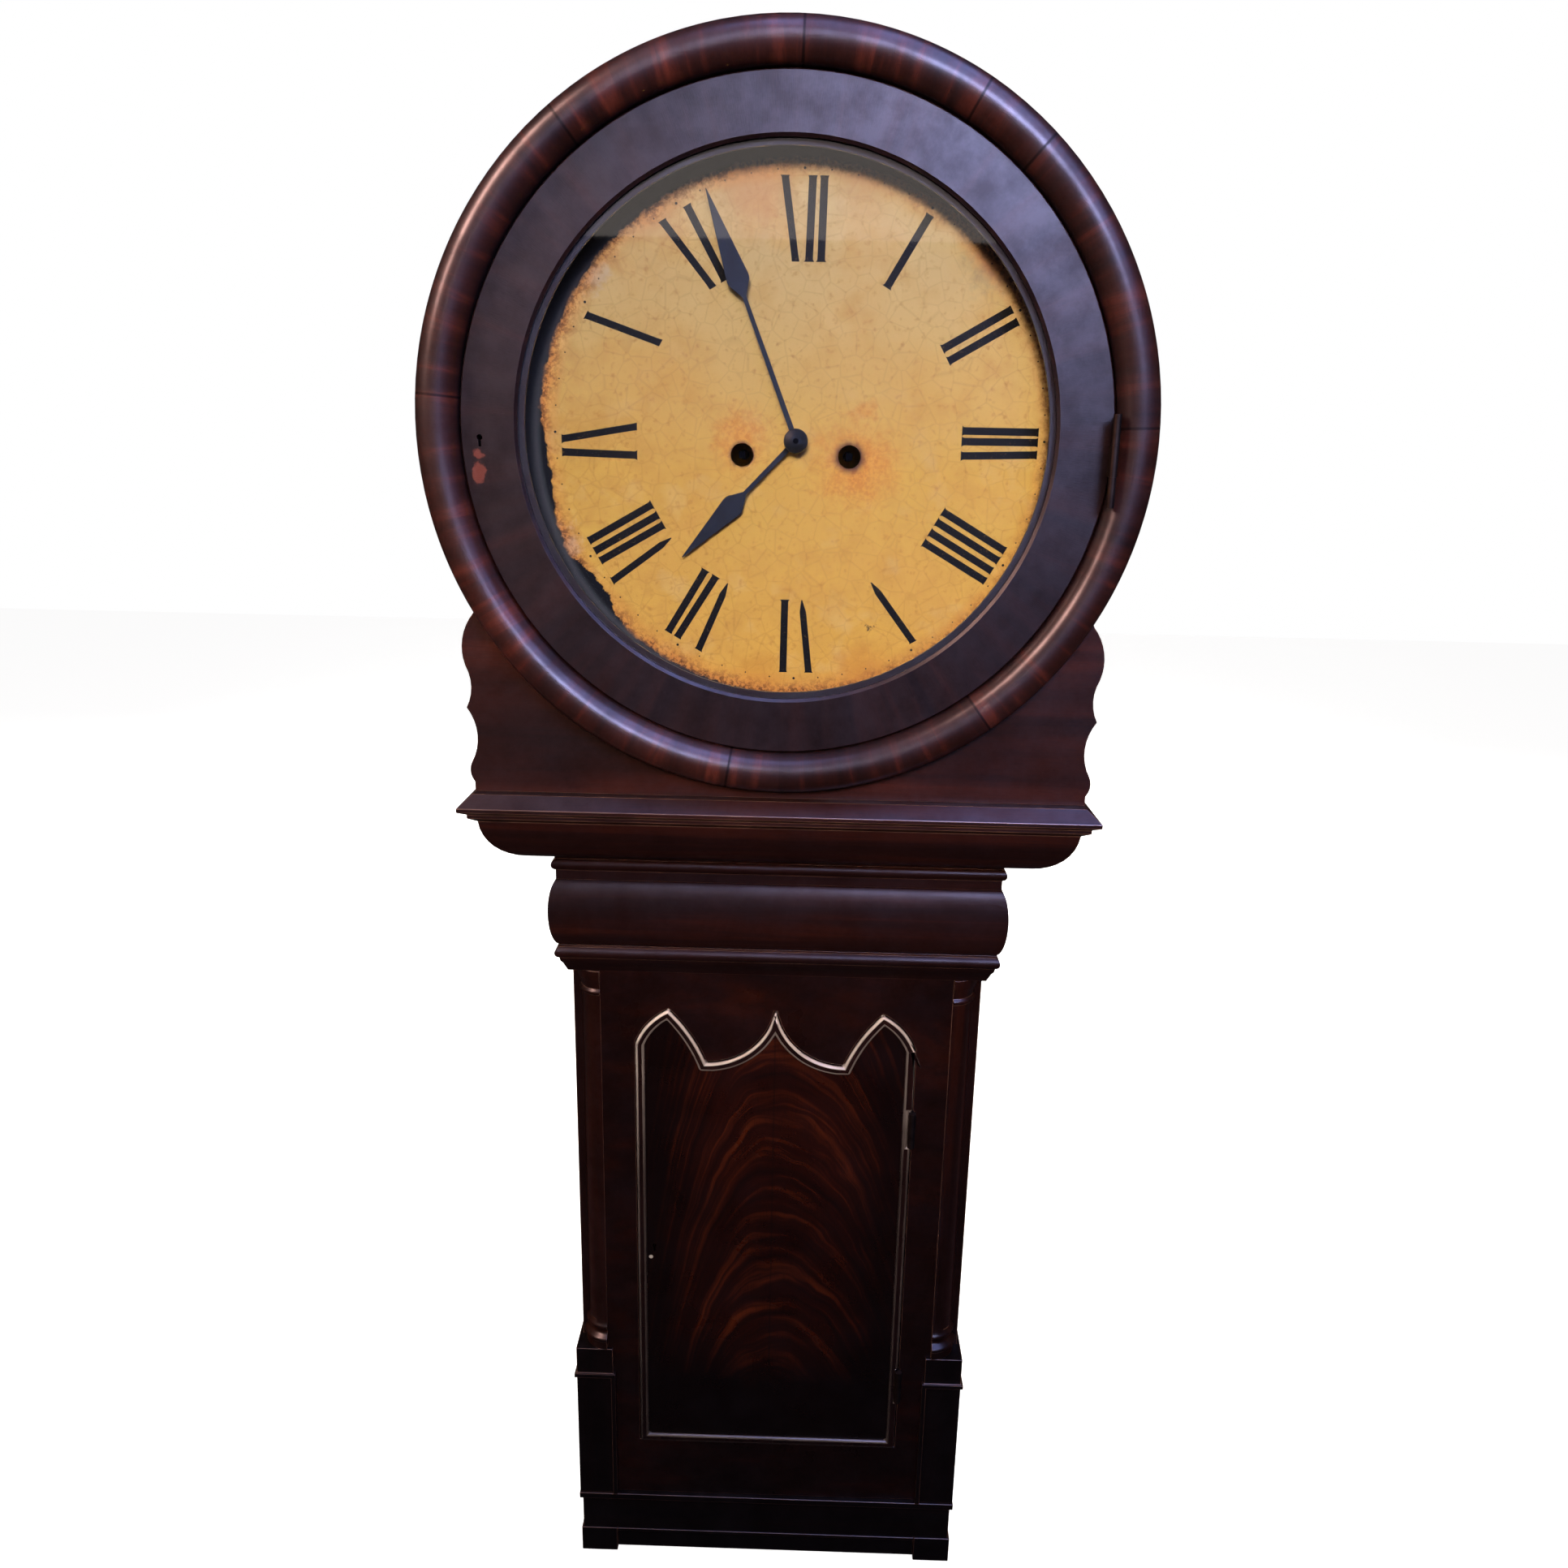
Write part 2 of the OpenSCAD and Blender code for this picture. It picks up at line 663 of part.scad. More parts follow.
// The hood board's side: a notch, a bow, a hollow, a point, a hollow and a lobe
function hood_edge() = let(z = hood_z0)
    concat([[hood_hw, z], [hood_hw, z + 7]],
        bow([hood_hw, z + 7], [hood_hw + 1.5, z + 22], -2.2, 5),
        bow([hood_hw + 1.5, z + 22], [hood_hw + 3.5, z + 63], 6, 8),
        bow([hood_hw + 3.5, z + 63], [hood_hw + 3, z + 94], 3.8, 6),
        bow([hood_hw + 3, z + 94], [hood_hw - 4.5, z + 132], -5, 8));
module hood_front_board() {
    edge = hood_edge();
    color("#3a1a12") slab(hood_d - hood_t, hood_d) difference() {
        union() {
            polygon(concat(edge, [[drum_r - 60, ring_z]], [[-(drum_r - 60), ring_z]], flip(edge)));
            translate([0, ring_z]) circle(drum_r + 4, $fn = 96);
        }
        translate([0, ring_z]) circle(hood_hole_r, $fn = 96);
    }
}
module hood_sides() {
    color("#3a1a12") both_sides() difference() {
        block(hood_in_hw, hood_side_hw, 0, hood_d - hood_t, hood_z0, ring_z);
        disc_y(0, ring_z, -1, hood_d, drum_r);
    }
}
module drum_shell() {
    color("#3a1a12") difference() {
        disc_y(0, ring_z, 0, hood_d - hood_t, drum_r);
        disc_y(0, ring_z, -1, hood_d, drum_r - drum_t);
        block(-hood_in_hw, hood_in_hw, -1, hood_d, hood_z0, ring_z);
    }
}
module bezel_torus() {
    r_mid = bezel_in + bezel_w / 2;
    color("#4a2018") difference() {
        turned_y(0, ring_z, hood_d) intersection() {
            union() {
                translate([r_mid, ring_d1 - hood_d]) circle(bezel_w / 2);
                translate([bezel_in, 0]) square([bezel_w, ring_d1 - hood_d]);
            }
            translate([bezel_in, 0]) square([bezel_w, far]);
        }
        dial_frame_leaf_place();
        block(-(ring_out + 10), -(ring_out - 2), bolt_d0 - 1, bolt_d1 + 1,
            lock_z - 5, lock_z + 5);
    }
}
module seatboard() {
    slot_w = 6;
    color("#5a3a24") difference() {
        block(-trunk_hw, trunk_hw, back_plate_d0 - 35, recess_d, cheek_top, seat_top);
        for (s = [-1, 1]) for (f = [-1, 1])
            line_slot(mx + s * wind_dx + f * fall_x, slot_w);
        block(mx - 14, mx + 14, -1, pendulum_d + 12, cheek_top - 1, seat_top + 1);
    }
}
module line_slot(x, w) {
    block(x - w / 2, x + w / 2, barrel_d0 + 1, barrel_d1 - 1, cheek_top - 1, seat_top + 1);
}

// Three-knuckle hinges: the frame leaf has the outer knuckles and carries the pin
module knuckle(x, d, z0, z1) {
    post_z(x, d, z0, z1, knuckle_r);
}
module butt_frame_leaf(z) {
    h3 = butt_h / 3;
    difference() {
        union() {
            block(butt_x, butt_x + leaf_t, trunk_d - leaf_w, butt_d, z - butt_h / 2, z + butt_h / 2);
            knuckle(butt_x, butt_d, z - butt_h / 2, z + butt_h / 2);
        }
        post_z(butt_x, butt_d, z - h3 / 2 - 0.2, z + h3 / 2 + 0.2, knuckle_r + 0.3);
        block(butt_x - 1, butt_x + leaf_t + 4, trunk_d + 0.1, butt_d + 5, z - h3 / 2 - 0.2,
            z + h3 / 2 + 0.2);
    }
    post_z(butt_x, butt_d, z - butt_h / 2, z + butt_h / 2, hinge_pin_r);
}
module trunk_hinge_frame_leaves() {
    color("#8a6a35") {
        butt_frame_leaf(butt_z1);
        butt_frame_leaf(butt_z2);
    }
}
module butt_door_leaf(z) {
    h3 = butt_h / 3;
    difference() {
        union() {
            block(butt_x - leaf_t, butt_x - 0.15, trunk_d - leaf_w, trunk_d,
                z - butt_h / 2, z + butt_h / 2);
            block(butt_x - leaf_t, butt_x - 0.15, trunk_d - 1, butt_d, z - h3 / 2, z + h3 / 2);
            knuckle(butt_x, butt_d, z - h3 / 2, z + h3 / 2);
        }
        post_z(butt_x, butt_d, z - h3, z + h3, hinge_pin_r + run_clear);
    }
}
module trunk_hinge_door_leaves() {
    color("#8a6a35") {
        butt_door_leaf(butt_z1);
        butt_door_leaf(butt_z2);
    }
}
module dial_door_ring() {
    glass_back = glass_d - ring_d0;
    color("#3a1a12") difference() {
        turned_y(0, ring_z, ring_d0) polygon([[ring_in + rebate_w, 0], [ring_out, 0],
            [ring_out, ring_t - 1], [ring_out - 1, ring_t], [ring_in + 2, ring_t],
            [ring_in, ring_t - 2], [ring_in, glass_back + glass_t],
            [ring_in + rebate_w, glass_back + glass_t]]);
        block(lock_x1 - 0.1, lock_x1 + lock_w, ring_d0 - 1, ring_d0 + lock_t,
            lock_z - lock_h / 2, lock_z + lock_h / 2);
        block(-ring_out - 5, lock_x1 + 1, bolt_d0 - 0.3, bolt_d1 + 0.3,
            lock_z - bolt_h / 2 - 0.3, lock_z + bolt_h / 2 + 0.3);
        slab(ring_d0, ring_d1 + 1) translate([key_x, lock_z]) keyhole_2d();
        block(dial_hinge_x + leaf_t / 2, ring_out + 5, ring_d0 - 1, ring_d1 + 1,
            dial_hinge_z - dial_hinge_h / 2 - 1, dial_hinge_z + dial_hinge_h / 2 + 1);
        dial_door_leaf_place();
    }
}
module keyhole_2d() {
    circle(2, $fn = 24);
    translate([-0.9, -6]) square([1.8, 6]);
}
module dial_door_bead() {
    glass_back = glass_d - ring_d0;
    fit_r = ring_in + rebate_w - 0.1;
    color("#201010") turned_y(0, ring_z, ring_d0) polygon([[ring_in - 4, glass_back],
        [ring_in - 4, 3], [ring_in - 1, 0.6], [fit_r, 0.6], [fit_r, glass_back]]);
}
module dial_glass() {
    color([0.8, 0.9, 0.9, 0.3])
        disc_y(0, ring_z, glass_d, glass_d + glass_t, ring_in + rebate_w - 0.2);
}
module dial_door_lock() {
    color("#8a6a35") difference() {
        block(lock_x1, lock_x1 + lock_w, ring_d0, ring_d0 + lock_t, lock_z - lock_h / 2,
            lock_z + lock_h / 2);
        block(lock_x1 - 1, lock_x1 + bolt_len + 1, bolt_d0 - bolt_slack, bolt_d1 + bolt_slack,
            lock_z - bolt_h / 2 - bolt_slack, lock_z + bolt_h / 2 + bolt_slack);
        slab(ring_d0 + 1, ring_d0 + lock_t + 1) translate([key_x, lock_z]) keyhole_2d();
    }
}
module dial_door_bolt() {
    color("#6a6a70") difference() {
        block(-(ring_out - 0.6), lock_x1 + bolt_len, bolt_d0, bolt_d1, lock_z - bolt_h / 2,
            lock_z + bolt_h / 2);
        block(key_x - 3, key_x + 3, bolt_d0 - 1, bolt_d1 + 1, lock_z - bolt_h, lock_z + 1);
    }
}
// The dial door's hinge stands at the bezel's crest, so that the door swings clear of the bezel
module dial_frame_leaf_place() {
    block(dial_hinge_x + dial_leaf_gap, dial_hinge_x + dial_leaf_gap + leaf_t, ring_d0 + 4,
        dial_hinge_d, dial_hinge_z - dial_hinge_h / 2, dial_hinge_z + dial_hinge_h / 2);
}
module dial_hinge_frame_leaf() {
    h3 = dial_hinge_h / 3 + 0.4;
    cut = dial_knuckle_r + 0.3;
    color("#6a5030") {
        difference() {
            union() {
                dial_frame_leaf_place();
                post_z(dial_hinge_x, dial_hinge_d, dial_hinge_z - dial_hinge_h / 2,
                    dial_hinge_z + dial_hinge_h / 2, dial_knuckle_r);
            }
            block(dial_hinge_x - cut, dial_hinge_x + cut, dial_hinge_d - cut, dial_hinge_d + cut,
                dial_hinge_z - h3 / 2, dial_hinge_z + h3 / 2);
        }
        post_z(dial_hinge_x, dial_hinge_d, dial_hinge_z - dial_hinge_h / 2,
            dial_hinge_z + dial_hinge_h / 2, dial_pin_r);
    }
}
module dial_door_leaf_place() {
    block(dial_hinge_x - leaf_t / 2, dial_hinge_x + leaf_t / 2, ring_d0, dial_hinge_d,
        dial_hinge_z - dial_hinge_h / 6, dial_hinge_z + dial_hinge_h / 6);
}
module dial_hinge_door_leaf() {
    h6 = dial_hinge_h / 6;
    color("#6a5030") difference() {
        union() {
            dial_door_leaf_place();
            post_z(dial_hinge_x, dial_hinge_d, dial_hinge_z - h6, dial_hinge_z + h6,
                dial_knuckle_r);
        }
        post_z(dial_hinge_x, dial_hinge_d, dial_hinge_z - dial_hinge_h, dial_hinge_z + dial_hinge_h,
            dial_pin_r + run_clear);
    }
}

// The panel's back is drawn in, and more so at the points, so that it swings clear of the frame
module door_back_2d() {
    points_z = lobe_z - lobe_r - 12;
    intersection() {
        door_2d(1.2);
        translate([-door_hw, door_z0]) square([2 * door_hw, points_z - door_z0]);
    }
    intersection() {
        door_2d(door_point_relief);
        translate([-door_hw, points_z - 1]) square([2 * door_hw, lobe_r]);
    }
}
module trunk_door_panel() {
    color("#4a1e10") difference() {
        union() {
            slab(trunk_d - bead_seat - 1, trunk_d) door_2d(door_bead_w);
            slab(trunk_d - bead_seat - 1, trunk_d - bead_seat) door_2d(0);
            slab(recess_d, trunk_d - bead_seat - 1) door_back_2d();
        }
        door_mortises(-1, 0);
        slab(recess_d - 1, trunk_d + 1) translate([trunk_key_x, trunk_lock_z]) keyhole_2d();
    }
}
module trunk_door_bead() {
    color("#5a2c1c") difference() {
        slab(trunk_d - bead_seat, trunk_d + door_bead_out) difference() {
            door_2d(0);
            door_2d(door_bead_w);
        }
        door_mortises(-1, 0);
        for (z = [butt_z1, butt_z2])
            post_z(butt_x, butt_d, z - butt_h / 2 - 0.3, z + butt_h / 2 + 0.3, knuckle_r + 0.4);
    }
}
module trunk_door_lock() {
    slot_h = trunk_bolt_h + 2 * bolt_slack;
    color("#8a6a35") difference() {
        block(trunk_lock_x0, trunk_lock_x0 + trunk_lock_w, trunk_lock_d0, recess_d,
            trunk_lock_z - trunk_lock_h / 2, trunk_lock_z + trunk_lock_h / 2);
        block(trunk_lock_x0 - 1, trunk_lock_x0 + trunk_bolt_len + 2, trunk_bolt_d0 - bolt_slack,
            trunk_bolt_d0 + trunk_bolt_t + bolt_slack, trunk_lock_z - slot_h / 2,
            trunk_lock_z + slot_h / 2);
        slab(trunk_lock_d0 + 1, recess_d + 1) translate([trunk_key_x, trunk_lock_z]) keyhole_2d();
    }
}
module trunk_door_bolt() {
    color("#6a6a70") difference() {
        block(trunk_lock_x0 - 1, trunk_lock_x0 + trunk_bolt_len, trunk_bolt_d0,
            trunk_bolt_d0 + trunk_bolt_t, trunk_lock_z - trunk_bolt_h / 2,
            trunk_lock_z + trunk_bolt_h / 2);
        block(trunk_key_x - 3, trunk_key_x + 3, trunk_bolt_d0 - 1, trunk_bolt_d0 + trunk_bolt_t + 1,
            trunk_lock_z - trunk_bolt_h, trunk_lock_z + 1);
    }
}

// Movement plates, drawn in the front view with the holes of their arbors
module plate_2d() {
    difference() {
        translate([mx - plate_w / 2, seat_top]) square([plate_w, plate_h]);
        translate([mx, mz]) circle(centre_arbor_r + run_clear);
        for (s = [-1, 1]) translate([mx + s * wind_dx, barrel_z]) circle(barrel_arbor_r + run_clear);
        translate([third_x, third_z]) circle(pivot_r + run_clear);
        translate([mx, escape_z]) circle(pivot_r + run_clear);
        translate([hammer_x, hammer_z]) circle(pivot_r + run_clear);
    }
}
module back_plate() {
    color("#a8843c") slab(back_plate_d0, back_plate_d1) difference() {
        plate_2d();
        translate([mx, pivot_z]) circle(6);
    }
}
module front_plate() {
    color("#a8843c") slab(front_plate_d0, front_plate_d1) difference() {
        plate_2d();
        translate([mx, pivot_z]) circle(pivot_r + run_clear);
        translate([mx, minute_arbor_z]) circle(pivot_r + run_clear);
    }
}
module plate_pillars() {
    inset = 7;
    color("#b08c42") for (x = [mx - plate_w / 2 + inset, mx + plate_w / 2 - inset])
        for (z = [seat_top + inset, seat_top + plate_h - inset])
            turned_y(x, z, back_plate_d1) polygon([[0, 0], [6, 0], [6, 4], [3.5, 8],
                [3.5, plate_gap / 2 - 4], [5, plate_gap / 2], [3.5, plate_gap / 2 + 4],
                [3.5, plate_gap - 8], [6, plate_gap - 4], [6, plate_gap], [0, plate_gap]]);
}
module back_cock() {
    foot_x = 22;
    color("#b08c42") difference() {
        union() {
            for (s = [-1, 1]) block(mx + s * foot_x - 4, mx + s * foot_x + 4, cock_d0, back_plate_d0,
                pivot_z - 9, pivot_z + 20);
            block(mx - foot_x - 4, mx + foot_x + 4, cock_d0, cock_d0 + 3,
                pivot_z - 9, pivot_z + 20);
            block(mx - 8, mx + 8, pendulum_d - 7, cock_d0 + 3, pivot_z + 4, pivot_z + 18);
        }
        disc_y(mx, pivot_z, cock_d0 - 1, cock_d0 + 4, pivot_r + run_clear);
        block(mx - 1, mx + 1, pendulum_d - 5, pendulum_d + 5, pivot_z + 3, pivot_z + 12);
    }
}
module dial_plate() {
    color("#e3b567") {
        slab(dial_back, dial_d) difference() {
            translate([mx, mz]) circle(dial_r, $fn = 96);
            translate([mx, mz]) circle(centre_hole_r);
            for (s = [-1, 1]) translate([mx + s * wind_dx, barrel_z]) circle(wind_hole_r);
        }
        for (x = [-1, 1]) for (z = [seat_top + 18, seat_top + plate_h - 12])
            disc_y(mx + x * (plate_w / 2 - 18), z, front_plate_d1, dial_back, 3);
    }
}

// A hand: hub, tapered shank, pear-shaped swell and long point
module hand_2d(length, swell_at, hub_r) {
    tangent = acos(swell_r / (length - swell_at));
    circle(hub_r);
    translate([0, swell_at]) circle(swell_r);
    polygon([[-1.9, 0], [1.9, 0], [1.3, swell_at], [-1.3, swell_at]]);
    polygon([[swell_r * sin(tangent), swell_at + swell_r * cos(tangent)],
        [0.3, length], [-0.3, length],
        [-swell_r * sin(tangent), swell_at + swell_r * cos(tangent)]]);
    neck = 13;
    polygon([[-1.3, swell_at - neck], [1.3, swell_at - neck], [swell_r * 0.8, swell_at - 4.5],
        [-swell_r * 0.8, swell_at - 4.5]]);
}
module minute_hand() {
    color("#20242c") {
        slab(minute_hand_d, minute_hand_d + hand_t) translate([mx, mz]) rotate(-minute_deg)
            difference() {
                hand_2d(minute_len, minute_len - minute_point, 8);
                circle(cannon_r);
            }
        turned_y(mx, mz, minute_hand_d + hand_t) polygon([[centre_arbor_r, 0], [8.5, 0],
            [8, 2], [4, 4], [centre_arbor_r, 4.4]]);
    }
}
module cannon_pinion() {
    d0 = front_plate_d1 + 2;
    color("#80848c") difference() {
        union() {
            slab(d0, d0 + 7) translate([mx, mz]) rotate(-90) pinion_2d(12, 1);
            disc_y(mx, mz, d0 + 7, minute_hand_d + hand_t, cannon_r);
        }
        disc_y(mx, mz, d0 - 1, minute_hand_d + 20, centre_arbor_r);
    }
}
module centre_wheel() {
    wheel_d = barrel_d1 + 2.5;
    pinion_d = back_plate_d1 + 2;
    color("#b08c42") {
        crossed_wheel(mx, mz, wheel_d, wheel_d + 2, centre_n, centre_m, centre_turn, 6, 4);
        disc_y(mx, mz, back_plate_d0, minute_hand_d + hand_t + 4, centre_arbor_r);
        slab(pinion_d, pinion_d + 9) translate([mx, mz]) rotate(great_angle + 180 + 180 / 8)
            pinion_2d(centre_pinion_n, great_m);
    }
}
module great_wheel() {
    wheel_d = back_plate_d1 + 5;
    color("#b08c42") difference() {
        crossed_wheel(mx + wind_dx, barrel_z, wheel_d, wheel_d + 3, great_n, great_m, great_angle,
            12, 6);
        disc_y(mx + wind_dx, barrel_z, wheel_d - 1, wheel_d + 4, barrel_arbor_r + run_clear);
    }
}
module third_wheel() {
    pinion_d = barrel_d1 - 1;
    wheel_d = barrel_d0 + 4;
    color("#b08c42") {
        disc_y(third_x, third_z, back_plate_d0, front_plate_d1, pivot_r);
        disc_y(third_x, third_z, back_plate_d1 + 1, front_plate_d0 - 1, 2);
        slab(pinion_d, pinion_d + 9) translate([third_x, third_z])
            rotate(centre_turn + 180 + 180 / third_pinion_n) pinion_2d(third_pinion_n, centre_m);
        crossed_wheel(third_x, third_z, wheel_d, wheel_d + 2, third_n, third_m, third_turn, 5, 3);
    }
}
module escape_wheel() {
    pinion_d = barrel_d0 + 1;
    color("#b08c42") {
        disc_y(mx, escape_z, back_plate_d0, front_plate_d1, pivot_r);
        disc_y(mx, escape_z, back_plate_d1 + 1, front_plate_d0 - 1, 1.8);
        slab(pinion_d, pinion_d + 9) translate([mx, escape_z])
            rotate(third_turn + 180 + 180 / escape_pinion_n) pinion_2d(escape_pinion_n, third_m);
        slab(escape_d, escape_d + 1.6) translate([mx, escape_z]) difference() {
            polygon([for (i = [0 : 29]) for (p = [[escape_root_r, 0], [escape_r, 1],
                [escape_r, 2.4], [escape_root_r, 7]]) p[0] * [cos(12 * i + p[1]), sin(12 * i + p[1])]]);
            crossings_2d(12.5, 4.5, 2.5);
        }
    }
}
module minute_wheel() {
    d0 = front_plate_d1 + 4;
    color("#b08c42") {
        slab(d0, d0 + 2.4) translate([mx, minute_arbor_z]) rotate(90 + 180 / 36) wheel_2d(36, 1);
        slab(d0 + 2.4, d0 + 18) translate([mx, minute_arbor_z]) rotate(90) pinion_2d(12, 0.8);
        disc_y(mx, minute_arbor_z, front_plate_d0, d0 + 21, pivot_r);
        disc_y(mx, minute_arbor_z, front_plate_d1 + 0.2, d0, 2.2);
    }
}
module hour_wheel() {
    d0 = front_plate_d1 + 14;
    color("#b08c42") difference() {
        union() {
            slab(d0, d0 + 2.4) translate([mx, mz]) rotate(-90 + 180 / 48) wheel_2d(48, 0.8);
            disc_y(mx, mz, d0, hour_hand_d + hand_t, hour_pipe_r);
        }
        disc_y(mx, mz, d0 - 1, hour_hand_d + 5, cannon_r + run_clear);
    }
}
module hour_hand() {
    color("#20242c") slab(hour_hand_d, hour_hand_d + hand_t) translate([mx, mz]) rotate(-hour_deg)
        difference() {
            hand_2d(hour_len, hour_len - hour_point, 7.5);
            circle(hour_pipe_r);
        }
}

// The anchor with its arbor, and the crutch that embraces the pendulum rod
module pallet_arbor() {
    crutch_z = pivot_z - crutch_len;
    crutch_gap = 0.3;
    color("#80848c") {
        disc_y(mx, pivot_z, cock_d0, front_plate_d1, pivot_r);
        disc_y(mx, pivot_z, cock_d0 + 4, front_plate_d0 - 1, 2.2);
        slab(escape_d - 0.5, escape_d + 3.5) translate([mx, escape_z]) difference() {
            intersection() {
                circle(pallet_out_r);
                translate([-18, 12]) square([36, 20]);
            }
            circle(escape_r + pallet_clear);
            translate([-9.5, 0]) square([19, 21.5]);
        }
        block(mx - 2.5, mx + 2.5, back_plate_d0 - 7, back_plate_d0 - 4.5, crutch_z, pivot_z + 3);
        for (s = [-1, 1]) block(min(mx + s * (rod_r + crutch_gap), mx + s * (rod_r + 2.5)),
            max(mx + s * (rod_r + crutch_gap), mx + s * (rod_r + 2.5)),
            pendulum_d - 4, back_plate_d0 - 4.5, crutch_z - 2, crutch_z + 4);
        block(mx - rod_r - 2.5, mx + rod_r + 2.5, back_plate_d0 - 7, back_plate_d0 - 4.5,
            crutch_z - 2, crutch_z + 4);
    }
}

// Barrel with flanges, arbor and winding square
module barrel(x) {
    disc_y(x, barrel_z, barrel_d0, barrel_d1, barrel_r);
    disc_y(x, barrel_z, barrel_d0 - 2, barrel_d0, barrel_r + 3);
    disc_y(x, barrel_z, barrel_d1, barrel_d1 + 1.5, barrel_r + 3);
    disc_y(x, barrel_z, back_plate_d0, front_plate_d1 + 6, barrel_arbor_r);
    block(x - square_half, x + square_half, front_plate_d1, square_d1, barrel_z - square_half,
        barrel_z + square_half);
}
module going_barrel() {
    color("#b08c42") {
        barrel(mx + wind_dx);
        disc_y(mx + wind_dx, barrel_z, barrel_d0 - 4.5, barrel_d0 - 2, 14);
    }
}
module strike_barrel() {
    wheel_d = barrel_d0 - 8;
    color("#b08c42") {
        barrel(mx - wind_dx);
        crossed_wheel(mx - wind_dx, barrel_z, wheel_d, wheel_d + 3, strike_n, strike_m, 0, 9, 6);
        disc_y(mx - wind_dx, barrel_z, wheel_d + 3, barrel_d0 - 2, 8);
    }
}
module bell() {
    wall = 2.5;
    color("#a09060") translate([mx, -bell_d, bell_z]) difference() {
        scale_round(bell_r);
        translate([0, 0, -0.01]) scale_round(bell_r - wall);
        cylinder(h = 2 * bell_h, r = 3);
    }
}
module scale_round(r) {
    rotate_extrude($fn = 96) intersection() {
        translate([0, r * bell_h / bell_r - sphere_r(r)]) circle(sphere_r(r));
        square([r, r]);
    }
}
function sphere_r(r) = (r ^ 2 + (r * bell_h / bell_r) ^ 2) / (2 * r * bell_h / bell_r);
module bell_stand() {
    foot_z = seat_top + plate_h - 22;
    upright_x0 = mx - bell_r + 2;
    upright_x1 = upright_x0 + 12;
    color("#80848c") {
        block(upright_x0, upright_x1, back_plate_d0 - 4, back_plate_d0, foot_z - 12, foot_z + 12);
        block(upright_x0, upright_x1, back_plate_d0 - 8, back_plate_d0 - 4, foot_z - 4,
            bell_z + bell_h + 6);
        block(upright_x0, mx + 7, back_plate_d0 - 8, back_plate_d0 - 4, bell_z + bell_h + 2,
            bell_z + bell_h + 6);
        block(mx - 7, mx + 7, back_plate_d0 - 8, bell_d + 7, bell_z + bell_h + 2,
            bell_z + bell_h + 6);
        post_z(mx, bell_d, bell_z + bell_h - 8, bell_z + bell_h + 8, 2.9);
        post_z(mx, bell_d, bell_z + bell_h + 0.1, bell_z + bell_h + 2, 5);
    }
}
module hammer() {
    head_z = bell_z + 6;
    color("#80848c") {
        disc_y(hammer_x, hammer_z, back_plate_d0, front_plate_d1, pivot_r);
        disc_y(hammer_x, hammer_z, back_plate_d1 + 1, front_plate_d0 - 1, 2);
        block(hammer_x - 1, hammer_x + 1, bell_d - 2, bell_d + 2, hammer_z, head_z);
        translate([mx + bell_r + hammer_stroke, -bell_d, head_z]) rotate([0, 90, 0])
            cylinder(h = hammer_head, r = 5);
    }
}

module pendulum_rod() {
    rod_top = pivot_z - 22;
    rod_tail = 10;
    color("#80848c") {
        block(mx - 0.4, mx + 0.4, pendulum_d - 4, pendulum_d + 4, rod_top, pivot_z + 7);
        block(mx - 3.5, mx + 3.5, pendulum_d - 5, pendulum_d + 5, rod_top - 10, rod_top + 4);
        post_z(mx, pendulum_d, bob_z - bob_r - 9, rod_top - 8, rod_r);
        post_z(mx, pendulum_d, bob_z - bob_r - nut_h - rod_tail, bob_z - bob_r - 9, 2);
    }
}
module pendulum_bob() {
    lens_r = (bob_r ^ 2 + (bob_t / 2) ^ 2) / bob_t;
    color("#b08c42") difference() {
        intersection() {
            translate([mx, -pendulum_d - (lens_r - bob_t / 2), bob_z]) sphere(lens_r, $fn = 128);
            translate([mx, -pendulum_d + (lens_r - bob_t / 2), bob_z]) sphere(lens_r, $fn = 128);
        }
        post_z(mx, pendulum_d, bob_z - bob_r - 1, bob_z + bob_r + 1, rod_r + run_clear);
    }
    color("#b08c42") difference() {
        post_z(mx, pendulum_d, bob_z - bob_r - 4, bob_z - bob_r + 3, 5);
        post_z(mx, pendulum_d, bob_z - bob_r - 5, bob_z + bob_r, rod_r + run_clear);
    }
}
module rating_nut() {
    nut_z = bob_z - bob_r - 4.2 - nut_h;
    color("#b08c42") difference() {
        post_z(mx, pendulum_d, nut_z, nut_z + nut_h, 8);
        post_z(mx, pendulum_d, nut_z - 1, nut_z + nut_h + 1, rod_r + run_clear);
    }
}

// A cast weight with its hook and the stirrup that holds the pulley's axle
module hanging_weight(x) {
    top = weight_z0 + weight_h;
    cheek = pulley_t / 2 + 1;
    translate([x, -line_d, weight_z0]) rotate_extrude($fn = 96) polygon([[0, 0],
        [weight_r - 3, 0], [weight_r, 3], [weight_r, weight_h - 4], [weight_r - 4, weight_h],
        [0, weight_h]]);
    post_z(x, line_d, top, pulley_z - pulley_r - 5, 3);
    block(x - 5, x + 5, line_d - cheek - 2, line_d + cheek + 2, pulley_z - pulley_r - 6,
        pulley_z - pulley_r - 3);
    for (s = [-1, 1]) block(x - 5, x + 5, line_d + s * (cheek + 1) - 1, line_d + s * (cheek + 1) + 1,
        pulley_z - pulley_r - 6, pulley_z + 6);
    disc_y(x, pulley_z, line_d - cheek - 2, line_d + cheek + 2, axle_r);
}
module going_weight() {
    color("#3c3c40") hanging_weight(mx + wind_dx);
}
module strike_weight() {
    color("#3c3c40") hanging_weight(mx - wind_dx);
}
